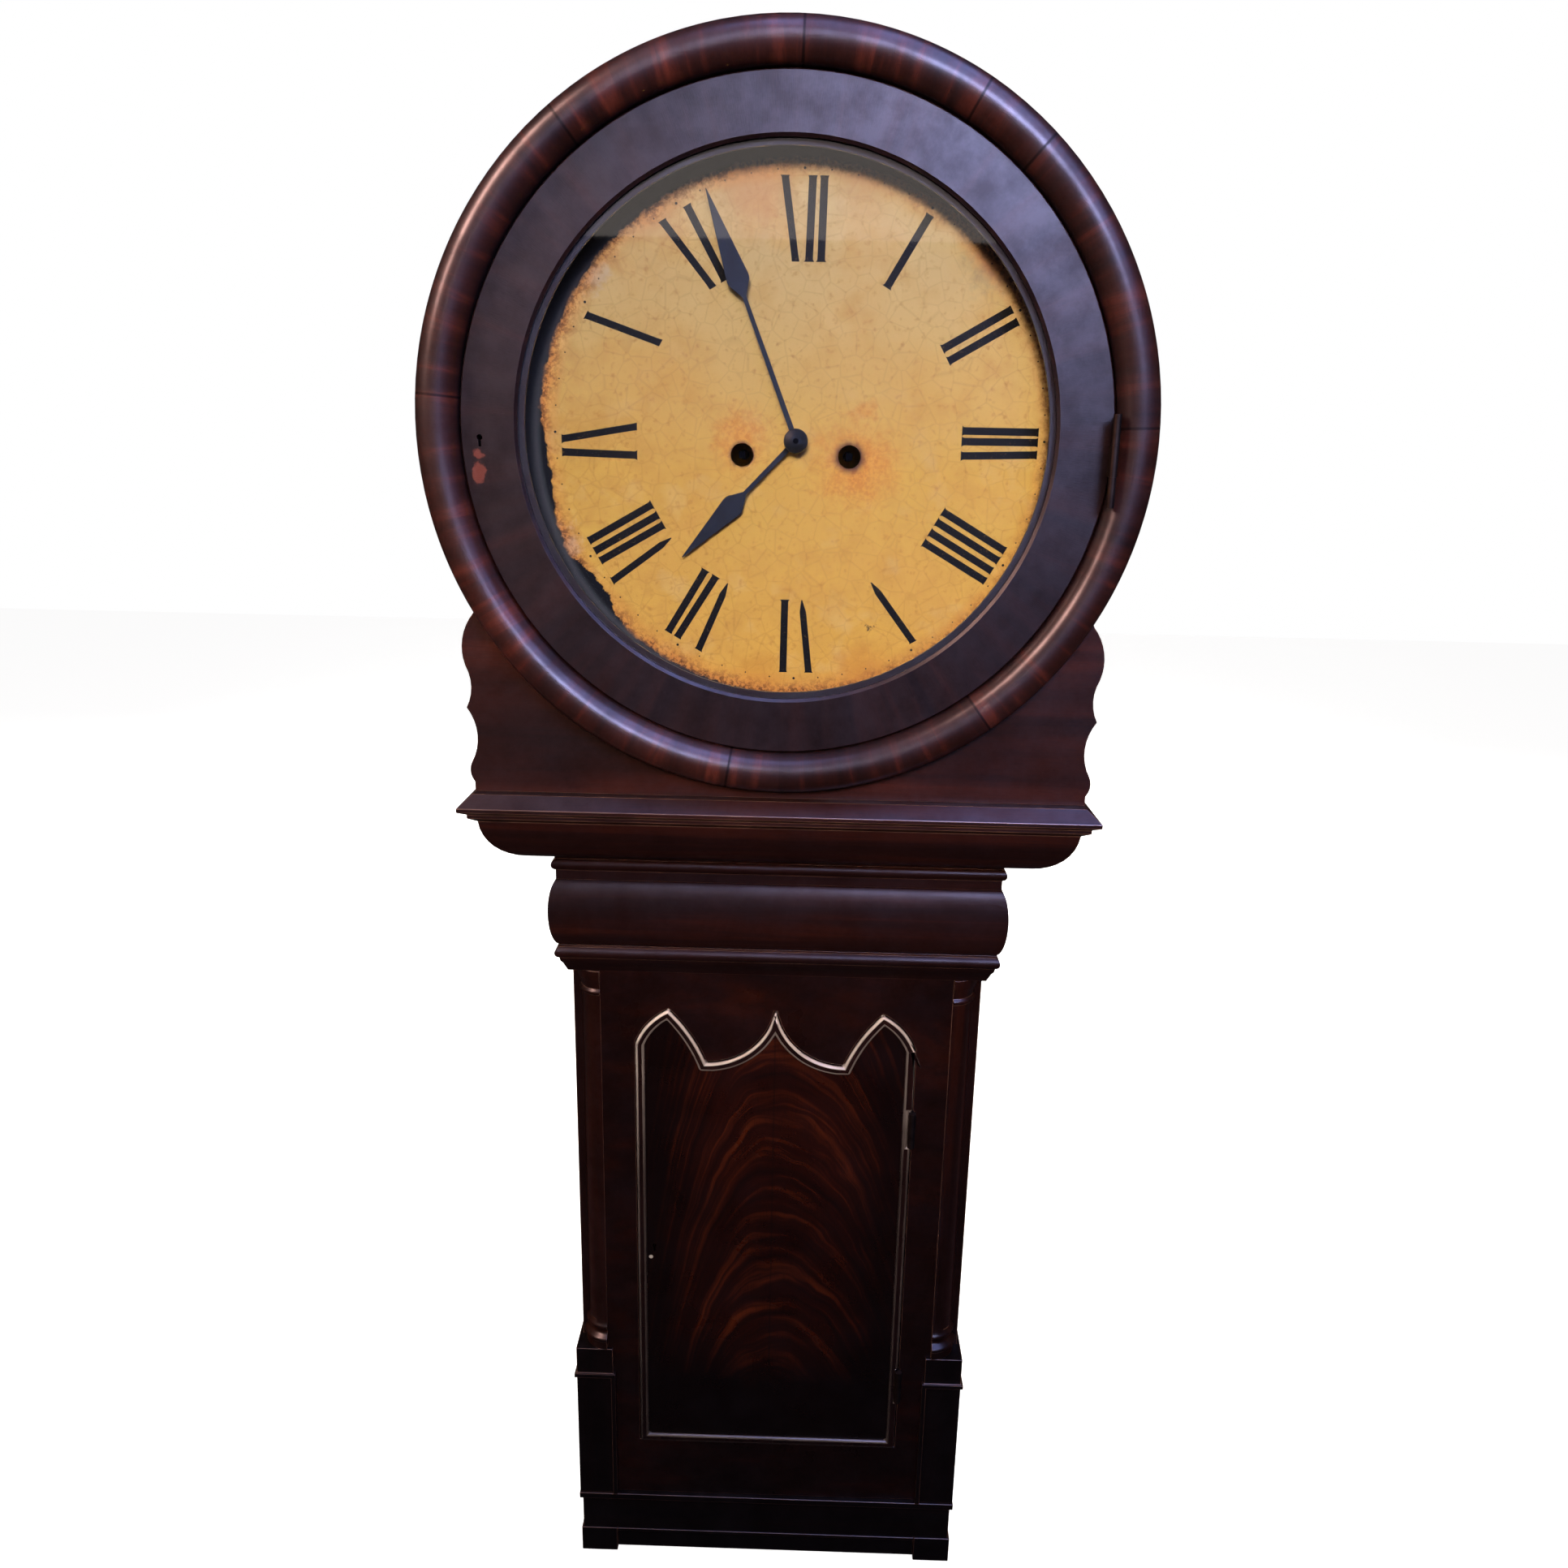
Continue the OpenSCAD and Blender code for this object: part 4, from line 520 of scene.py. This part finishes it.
def new_piece(name, mesh, material, body, slot, *nodes, ends=None):
    """A mesh piece that rides on a body and may stand for CAD nodes, which it hides.
    Given its ends, it is fixed where it stands and rides on no body."""
    piece = bpy.data.objects.new(name, mesh)
    bpy.context.scene.collection.objects.link(piece)
    mesh.materials.append(material)
    if ends:
        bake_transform(piece)
    else:
        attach(piece, body)
    if nodes:
        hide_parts(*nodes)


def plate(build, outline, front, back):
    """A flat plate with the given outline, as (across, up) in millimetres, between two depths"""
    near = [build.verts.new((x / MM, front, z / MM)) for x, z in outline]
    far = [build.verts.new((x / MM, back, z / MM)) for x, z in outline]
    build.faces.new(near)
    build.faces.new(far[::-1])
    count = len(outline)
    for i in range(count):
        j = (i + 1) % count
        build.faces.new((near[j], near[i], far[i], far[j]))


class CLOCK_OT_case(bpy.types.Operator):
    """Veneers and polishes the trunk, hood, mouldings and drum"""
    bl_idname = "clock.case"
    bl_label = "Case timber"

    def execute(self, context):
        looks = context.scene.clock_finishes
        tones = (tuple(looks.wood_dark), tuple(looks.wood_mid), tuple(looks.wood_light))
        hood_tones = (tuple(looks.hood_dark), tuple(looks.hood_mid), tuple(looks.hood_light))
        # Straight-grained veneer on the flat boards: soft upright streaks under a glossy skin
        upright = veneer("polished_mahogany_boards", tones, "upright", (11, 240), 0.36, 0.3, 0.42)
        # Mouldings cut with the grain along them: long level streaks
        level = veneer("polished_mahogany_mouldings", tones, "level", (7, 260), 0.42, 0.38, 0.3)
        # The hood's boards are a little lighter than the trunk's
        hood = veneer("hood_mahogany_boards", hood_tones, "level", (12, 220), 0.42, 0.32, 0.5)
        # The frame round the door is laid across its length, in short mottled pieces
        across = veneer("crossbanded_frame_veneer", tones, "level", (16, 46), 0.34, 0.28, 0.42)
        # The foot and the pedestals are painted almost black: painted shade, darker where little
        # light reaches near the floor
        shade_darkened_tones = (linear("#080404"), linear("#0E0606"), linear("#160908"))
        low = veneer("painted_shade_mahogany_base", shade_darkened_tones, "level", (8, 240), 0.4, 0.34, 0.25)
        blocks = veneer("painted_shade_mahogany_pedestals", shade_darkened_tones, "upright", (8, 240), 0.4, 0.34, 0.2)
        # Worn arrises with a pale painted highlight along them, standing for lit edges
        edge = worn_edge_with_painted_highlight("worn_mahogany_edge_painted_highlight", "#5E4034", 0.32)
        # Each veneer, the width of the worn edges in millimetres, and the nodes
        for made, width, nodes in (
                (upright, 0.6, ("trunk_sides",)), (upright, 0.5, ("quarter_columns",)),
                (blocks, 0.6, ("pedestals",)), (across, 0.6, ("trunk_front_frame",)),
                (hood, 0.6, ("hood_front_board", "hood_sides")),
                (low, 0.6, ("base_box", "skirting_board", "feet")),
                (level, 0.45, ("lower_throat_moulding", "upper_throat_moulding",
                               "cornice_moulding"))):
            for node in nodes:
                finish(node, made, edge)
                ease(node, width, worn=True)
        finish("drum_shell", hood, edge)
        finish("cushion_moulding", level, edge)
        ease("cushion_moulding", 0.8)
        # Back and seat: dry softwood that never had polish, brown with age
        dry = (linear("#5E4226"), linear("#8A6A44"), linear("#A98A5E"))
        pine = veneer("bare_pine_board", dry, "upright", (9, 300), 0.7, gloss=0)
        for node in ("backboard", "bottom_board", "seatboard"):
            finish(node, pine)
        return {"FINISHED"}


class CLOCK_OT_bezel(bpy.types.Operator):
    """Lays the cross-grained veneer on the round bezel and the dial door's ring"""
    bl_idname = "clock.bezel"
    bl_label = "Bezel and dial door"

    def execute(self, context):
        looks = context.scene.clock_finishes
        # Short pieces of veneer with their grain across the moulding, butted round the ring
        tones = (tuple(looks.hood_dark), tuple(looks.hood_mid), linear("#4C2018"))
        round_grain = veneer("crossbanded_mahogany", tones, "round", (7, 60), 0.5, 0.3, 0.6, 0.6,
                             joints=(-171, -85, -38, 1.6, 30, 42, 88, 143))
        finish("bezel_torus", round_grain)
        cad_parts["bezel_torus"].data.shade_smooth()
        dull = (linear("#0D0506"), linear("#160A0A"), linear("#24100F"))
        ring = veneer("crossbanded_ring", dull, "round", (11, 120), 0.42, 0.34, relief=0.7)
        tree = ring.node_tree
        shader = tree.nodes["Principled BSDF"]
        tone = shader.inputs["Base Color"].links[0].from_socket
        # Veneer lost below the keyhole, down to red ground wood
        ragged = clouds(tree, 9, 5, gives=(-7, 7))
        for x, z, near, far in ((-2, -10, 2, 4), (-1, -22, 5, 7)):
            lost = spot(tree, (KEYHOLE[0] + x, KEYHOLE[1] + z), near, far, ragged)
            tone = laid(tree, tone, "#5C2A22", lost, 0.85)
        # Short hairline splits across the ring, at an angle in degrees and between two distances
        angle, reach = around(tree, RING_CENTRE)
        for at, low, high in ((-3, 196, 214), (8, 186, 197), (75, 188, 219), (86, 190, 204),
                              (-118, 200, 218), (152, 187, 202)):
            gap = add(tree, "Math", apart(tree, angle, math.radians(at)), reach,
                      operation="MULTIPLY")
            line = add(tree, "MapRange", gap, 0.15, 0.5, 0.7, 0)
            band = add(tree, "Math", add(tree, "Math", reach, low, operation="GREATER_THAN"),
                       add(tree, "Math", reach, high, operation="LESS_THAN"),
                       operation="MULTIPLY")
            tone = laid(tree, tone, "#050304", line, band)
        fill(tree, shader.inputs["Base Color"], tone)
        # The ring's worn arris carries a faint painted highlight
        finish("dial_door_ring", ring, worn_edge_with_painted_highlight("worn_ring_edge_painted_highlight", "#34242A"))
        ease("dial_door_ring", 0.7, worn=True)
        finish("dial_door_bead", worn_edge_with_painted_highlight("dark_sight_ring", "#201D26"))
        ease("dial_door_bead", 0.5)
        # Old crown glass, clear with a faint green; light passes it as through nothing, so the
        # dial behind it is lit as it would be without
        glass, tree, shader = start_material("dial_window_glass", Roughness=0.02, IOR=1.52,
                                             Transmission_Weight=1, Base_Color=linear("#F4FAF6"))
        path = add(tree, "LightPath")
        passed = add(tree, "Math", path.outputs["Is Shadow Ray"], path.outputs["Is Diffuse Ray"],
                     operation="MAXIMUM")
        pick = add(tree, "MixShader", passed, shader, add(tree, "BsdfTransparent"))
        fill(tree, tree.nodes["Material Output"].inputs["Surface"], pick)
        finish("dial_glass", glass)
        return {"FINISHED"}


class CLOCK_OT_trunk_door(bpy.types.Operator):
    """Lays the book-matched flame veneer and its moulded bead on the trunk door"""
    bl_idname = "clock.trunk_door"
    bl_label = "Trunk door"

    def execute(self, context):
        looks = context.scene.clock_finishes
        tones = (linear("#0D0403"), linear("#240A05"), tuple(looks.flame_light))
        flame = veneer("flame_mahogany_veneer", tones, "flame", (7, 60), 0.3, 0.22, 0.45)
        finish("trunk_door_panel", flame)
        dark = (linear("#100605"), linear("#1C0B09"), linear("#28120E"))
        bead = veneer("polished_bead", dark, "upright", (4, 90), 0.3, 0.16)
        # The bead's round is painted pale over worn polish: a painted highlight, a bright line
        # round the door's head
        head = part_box("trunk_door_bead")[1].z * MM
        finish("trunk_door_bead", bead, worn_edge_with_painted_highlight("bead_painted_highlight", "#D8C6BE", 0.26, 0.6,
                                                    above=head - 60))
        ease("trunk_door_bead", 2.2, worn=True, segments=3, clamp=False)
        return {"FINISHED"}


class CLOCK_OT_dial(bpy.types.Operator):
    """Paints the dial, its numerals and its minute dots"""
    bl_idname = "clock.dial"
    bl_label = "Dial"

    def execute(self, context):
        looks = context.scene.clock_finishes
        sizes = context.scene.clock_dial
        finish("dial_plate", dial_paint(looks))
        # Lamp-black paint, matt, a hair thick, worn brown in specks
        ink, tree, shader = start_material("lamp_black_paint", Roughness=0.5,
                                           Specular_IOR_Level=0.15)
        worn = clouds(tree, 2.5, 3, (0.62, 0.74))
        fill(tree, shader.inputs["Base Color"],
             laid(tree, linear("#09090C"), "#8A6A40", worn, 0.3))
        centre = (HANDS_CENTRE[0] + sizes.off_x * MM, HANDS_CENTRE[1] + sizes.off_z * MM)
        outer, inner = sizes.stroke_out * MM, sizes.stroke_in * MM
        half = sizes.stroke_width * MM / 2
        build = bmesh.new()
        front, back = DIAL_FACE - INK_THICKNESS / MM, DIAL_FACE

        def place(hour, side, reach):
            """Point at a distance from the centre and beside an hour's middle line"""
            turn = math.radians(30 * hour)
            return (centre[0] + reach * math.sin(turn) + side * math.cos(turn),
                    centre[1] + reach * math.cos(turn) - side * math.sin(turn))

        def stroke(hour, rim, foot, shape):
            """A stroke from its side offset at the rim to that at its foot, through pairs of
            distance from the centre and half width"""
            slope = (foot - rim) / (outer - inner)
            left, right = [], []
            for reach, width in shape:
                side = rim + slope * (outer - reach)
                left.append(place(hour, side - width, reach))
                right.append(place(hour, side + width, reach))
            plate(build, left + right[::-1], front, back)

        # Thick strokes widen a little into a short serif at both ends
        thick = ((outer, half + 0.5), (outer - 0.8, half + 0.25), (outer - 1.6, half),
                 (inner + 1.6, half), (inner + 0.8, half + 0.3), (inner, half + 1))
        for hour, strokes in UPRIGHTS.items():
            for rim, foot in strokes:
                stroke(hour, rim, foot, thick)
        for hour, (rim, foot) in SLANTS.items():
            tail = 0.35 if hour in POINTED else half
            stroke(hour, rim, foot, (
                (outer, half + 0.6), (outer - 1.2, half - 0.1), (inner + 9, half - 0.2),
                (inner + 4, (half + tail) / 2 - 0.2), (inner, tail)))
        for minute in range(60):
            turn = math.radians(6 * minute)
            dot = 1.0 if minute % 5 == 0 else 0.6
            x = centre[0] + sizes.dot_ring * MM * math.sin(turn)
            z = centre[1] + sizes.dot_ring * MM * math.cos(turn)
            plate(build, [(x + dot * math.cos(math.radians(60 * k)),
                           z + dot * math.sin(math.radians(60 * k))) for k in range(6)],
                  front, back)
        bmesh.ops.recalc_face_normals(build, faces=build.faces)
        mesh = bpy.data.meshes.new("chapter_numerals")
        build.to_mesh(mesh)
        build.free()
        new_piece("chapter_numerals", mesh, ink, "root", "blued_steel")
        # Hands of steel blued over heat, now dull slate with a thin sheen
        blued = metal("blued_hand_steel", linear("#20252E"), 0.5, "#17181D", 0.7)
        for node in ("minute_hand", "hour_hand"):
            finish(node, blued)
            ease(node, 0.15)
        return {"FINISHED"}


class CLOCK_OT_movement(bpy.types.Operator):
    """Finishes the movement, bell, pendulum, weights, lines, locks and hinges"""
    bl_idname = "clock.movement"
    bl_label = "Movement and fittings"

    def execute(self, context):
        looks = context.scene.clock_finishes
        # Cast and filed brass with brown tarnish
        brass = metal("cast_clock_brass", tuple(looks.brass), 0.32, "#7A5C2A")
        # The same, with the arbors' steel ends black with oil where they show in the dial
        arbored = metal("brass_with_oiled_steel_ends", tuple(looks.brass), 0.32, "#7A5C2A",
                        darkened=(LEFT_HOLE, RIGHT_HOLE, HANDS_CENTRE))
        # Turned and polished steel, and the yellow-grey of cast bell metal
        steel = metal("bright_arbor_steel", linear("#8E9096"), 0.3, "#5A5A5E")
        bell = metal("bell_metal", linear("#A9985F"), 0.28, "#7A6A40")
        # Iron as cast in sand: dark and dull, with some rust
        iron = metal("sand_cast_iron", linear("#3A3A3E"), 0.62, "#241E1C", 0.8)
        # Hinges and locks: brass gone almost black
        hinge = metal("tarnished_brass", linear("#2E2620"), 0.55, "#17120F")
        # Twisted gut: dull straw yellow
        gut = metal("twisted_gut_line", linear("#B59C66"), 0.6, "#8A7448", 0.0)
        for made, nodes in (
                (brass, ("back_plate", "front_plate", "plate_pillars", "back_cock", "great_wheel",
                         "third_wheel", "escape_wheel", "minute_wheel", "hour_wheel",
                         "pendulum_bob", "rating_nut", "going_pulley", "strike_pulley")),
                (arbored, ("centre_wheel", "going_barrel", "strike_barrel")),
                (steel, ("cannon_pinion", "pallet_arbor", "hammer", "bell_stand",
                         "pendulum_rod", "dial_door_bolt", "trunk_door_bolt")),
                (hinge, ("dial_hinge_frame_leaf", "dial_hinge_door_leaf",
                         "trunk_hinge_frame_leaves", "trunk_hinge_door_leaves",
                         "dial_door_lock", "trunk_door_lock")),
                (iron, ("going_weight", "strike_weight")), (bell, ("bell",))):
            for node in nodes:
                finish(node, made)
        # Each line runs from its barrel down to its pulley; its copy stays where the CAD line
        # stands
        for side in ("going", "strike"):
            low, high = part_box(side + "_line")
            x, y = (low.x + high.x) / 2, (low.y + high.y) / 2
            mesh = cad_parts[side + "_line"].data.copy()
            mesh.materials.clear()
            new_piece(side + "_gut", mesh, gut, side + "_drive", "gut", side + "_line",
                      ends=((x, y, high.z), (x, y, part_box(side + "_pulley")[1].z)))
        return {"FINISHED"}


class CLOCK_OT_stage(bpy.types.Operator):
    """Sets the floor, the daylight and the camera"""
    bl_idname = "clock.stage"
    bl_label = "Stage"

    def execute(self, context):
        stage = context.scene.clock_stage
        forward = Vector((-math.sin(stage.turn) * math.cos(stage.tilt),
                          math.cos(stage.turn) * math.cos(stage.tilt), -math.sin(stage.tilt)))
        level = Vector((math.cos(stage.turn), math.sin(stage.turn), 0))
        top = level.cross(forward)
        right = math.cos(stage.roll) * level + math.sin(stage.roll) * top
        up = math.cos(stage.roll) * top - math.sin(stage.roll) * level
        lens = bpy.data.cameras.new("Camera")
        lens.lens = stage.lens
        lens.sensor_width = 36
        lens.clip_start = 0.05
        camera = bpy.data.objects.new("Camera", lens)
        turn = Matrix((right, up, -forward)).transposed()
        camera.matrix_world = Matrix.Translation(stage.eye) @ turn.to_4x4()
        context.scene.collection.objects.link(camera)
        context.scene.camera = camera

        # The lamps that only give the polish its sheen don't show as mirror images in the glass
        panes = bpy.data.collections.new("glass_without_sheen_lamps")
        panes.objects.link(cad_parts["dial_glass"])
        panes.collection_objects[0].light_linking.link_state = "EXCLUDE"

        def lamp(name, place, aim, extent, power, tint, spread=180, lights="both"):
            """A soft lamp for the surfaces' own colour (fill), for their sheen, or for both"""
            light = bpy.data.lights.new(name, "AREA")
            light.shape = "RECTANGLE"
            light.size, light.size_y = extent
            light.energy = power
            light.color = linear(tint)
            light.spread = math.radians(spread)
            holder = bpy.data.objects.new(name, light)
            holder.matrix_world = Matrix.Translation(place) @ (
                Vector(aim) - Vector(place)).to_track_quat("-Z", "Y").to_matrix().to_4x4()
            holder.visible_diffuse = lights != "sheen"
            holder.visible_glossy = lights != "fill"
            holder.visible_transmission = lights == "both"
            if lights == "sheen":
                holder.light_linking.receiver_collection = panes
            context.scene.collection.objects.link(holder)

        lamp("Window behind", (0, -3, 2.35), (0, 0, 1.1), (2.6, 1.6), stage.daylight, "#EBDDD8")
        lamp("Lamp above", (-0.1, -2.3, 1.6), (0, -0.2, 1.06), (0.5, 0.4), stage.lamp, "#FFF2E6",
             46, "fill")
        lamp("Sky at the right", (0.95, -2.8, 2.4), (0.28, -0.2, 1.45), (1.2, 1), stage.sky,
             "#B9BEFA", 42, "sheen")
        lamp("Ceiling", (0.7, -1.1, 2.6), (0.1, -0.3, 1.24), (1.6, 2.2), 90, "#A2AEFF",
             lights="sheen")
        lamp("Glow at the left", (-1.3, -1, 1.95), (-0.15, -0.2, 1.15), (0.4, 0.9), 58,
             "#FFC8BC", lights="sheen")
        lamp("Warm wall", (-1, -3, 1), (-0.2, -0.2, 1), (1, 1), 1.6, "#FFC8A8", lights="sheen")
        # Soft light for the sides and the back, which the front doesn't see
        for x, y, power in ((-2.6, 0.5, 60), (2.6, 0.5, 60), (0, 2.8, 70)):
            lamp("Fill at the back", (x, y, 1.6), (0, -0.1, 0.7), (1.8, 1.6), power, "#F4F0EC",
                 lights="fill")

        # Plain pale floor; reflections in the polish see it dim, as a dark room's carpet
        build = bmesh.new()
        bmesh.ops.create_grid(build, x_segments=1, y_segments=1, size=6)
        mesh = bpy.data.meshes.new("floor")
        build.to_mesh(mesh)
        build.free()
        floor = bpy.data.objects.new("floor", mesh)
        context.scene.collection.objects.link(floor)
        pale, tree, shader = start_material("pale_matt_floor", Roughness=0.9,
                                            Emission_Color=(1, 1, 1))
        seen = add(tree, "LightPath").outputs["Is Camera Ray"]
        fill(tree, shader.inputs["Base Color"], laid(tree, linear("#1E1C1C"), "#F6F6F6", seen))
        fill(tree, shader.inputs["Emission Strength"],
             add(tree, "Math", seen, 0.94, operation="MULTIPLY"))
        mesh.materials.append(pale)

        world = bpy.data.worlds.new("World")
        context.scene.world = world
        world.use_nodes = True
        tree = world.node_tree
        # A dark room for the reflections, white for the camera
        seen = add(tree, "LightPath").outputs["Is Camera Ray"]
        fill(tree, tree.nodes["Background"].inputs["Color"],
             laid(tree, linear("#241E1C"), "#FFFFFF", seen))
        context.scene.view_settings.view_transform = "Standard"
        return {"FINISHED"}


class CLOCK_PT_panel(bpy.types.Panel):
    """Lists the clock's settings and the buttons for its steps"""
    bl_idname = "CLOCK_PT_panel"
    bl_label = "Dial clock"
    bl_space_type = "VIEW_3D"
    bl_region_type = "UI"
    bl_category = "Clock"

    def draw(self, context):
        for group in (context.scene.clock_finishes, context.scene.clock_dial,
                      context.scene.clock_stage):
            box = self.layout.box()
            for name in group.__annotations__:
                box.prop(group, name)
        for step in STEPS:
            self.layout.operator(step.bl_idname)


STEPS = (CLOCK_OT_case, CLOCK_OT_bezel, CLOCK_OT_trunk_door, CLOCK_OT_dial, CLOCK_OT_movement,
         CLOCK_OT_stage)
CLASSES = (ClockFinishes, ClockDial, ClockStage, *STEPS, CLOCK_PT_panel)


def register():
    for made in CLASSES:
        bpy.utils.register_class(made)
    bpy.types.Scene.clock_finishes = bpy.props.PointerProperty(type=ClockFinishes)
    bpy.types.Scene.clock_dial = bpy.props.PointerProperty(type=ClockDial)
    bpy.types.Scene.clock_stage = bpy.props.PointerProperty(type=ClockStage)


def unregister():
    del bpy.types.Scene.clock_stage
    del bpy.types.Scene.clock_dial
    del bpy.types.Scene.clock_finishes
    for made in reversed(CLASSES):
        bpy.utils.unregister_class(made)


def main():
    register()
    bpy.ops.clock.case()
    bpy.ops.clock.bezel()
    bpy.ops.clock.trunk_door()
    bpy.ops.clock.dial()
    bpy.ops.clock.movement()
    bpy.ops.clock.stage()


if __name__ == "__main__":
    main()
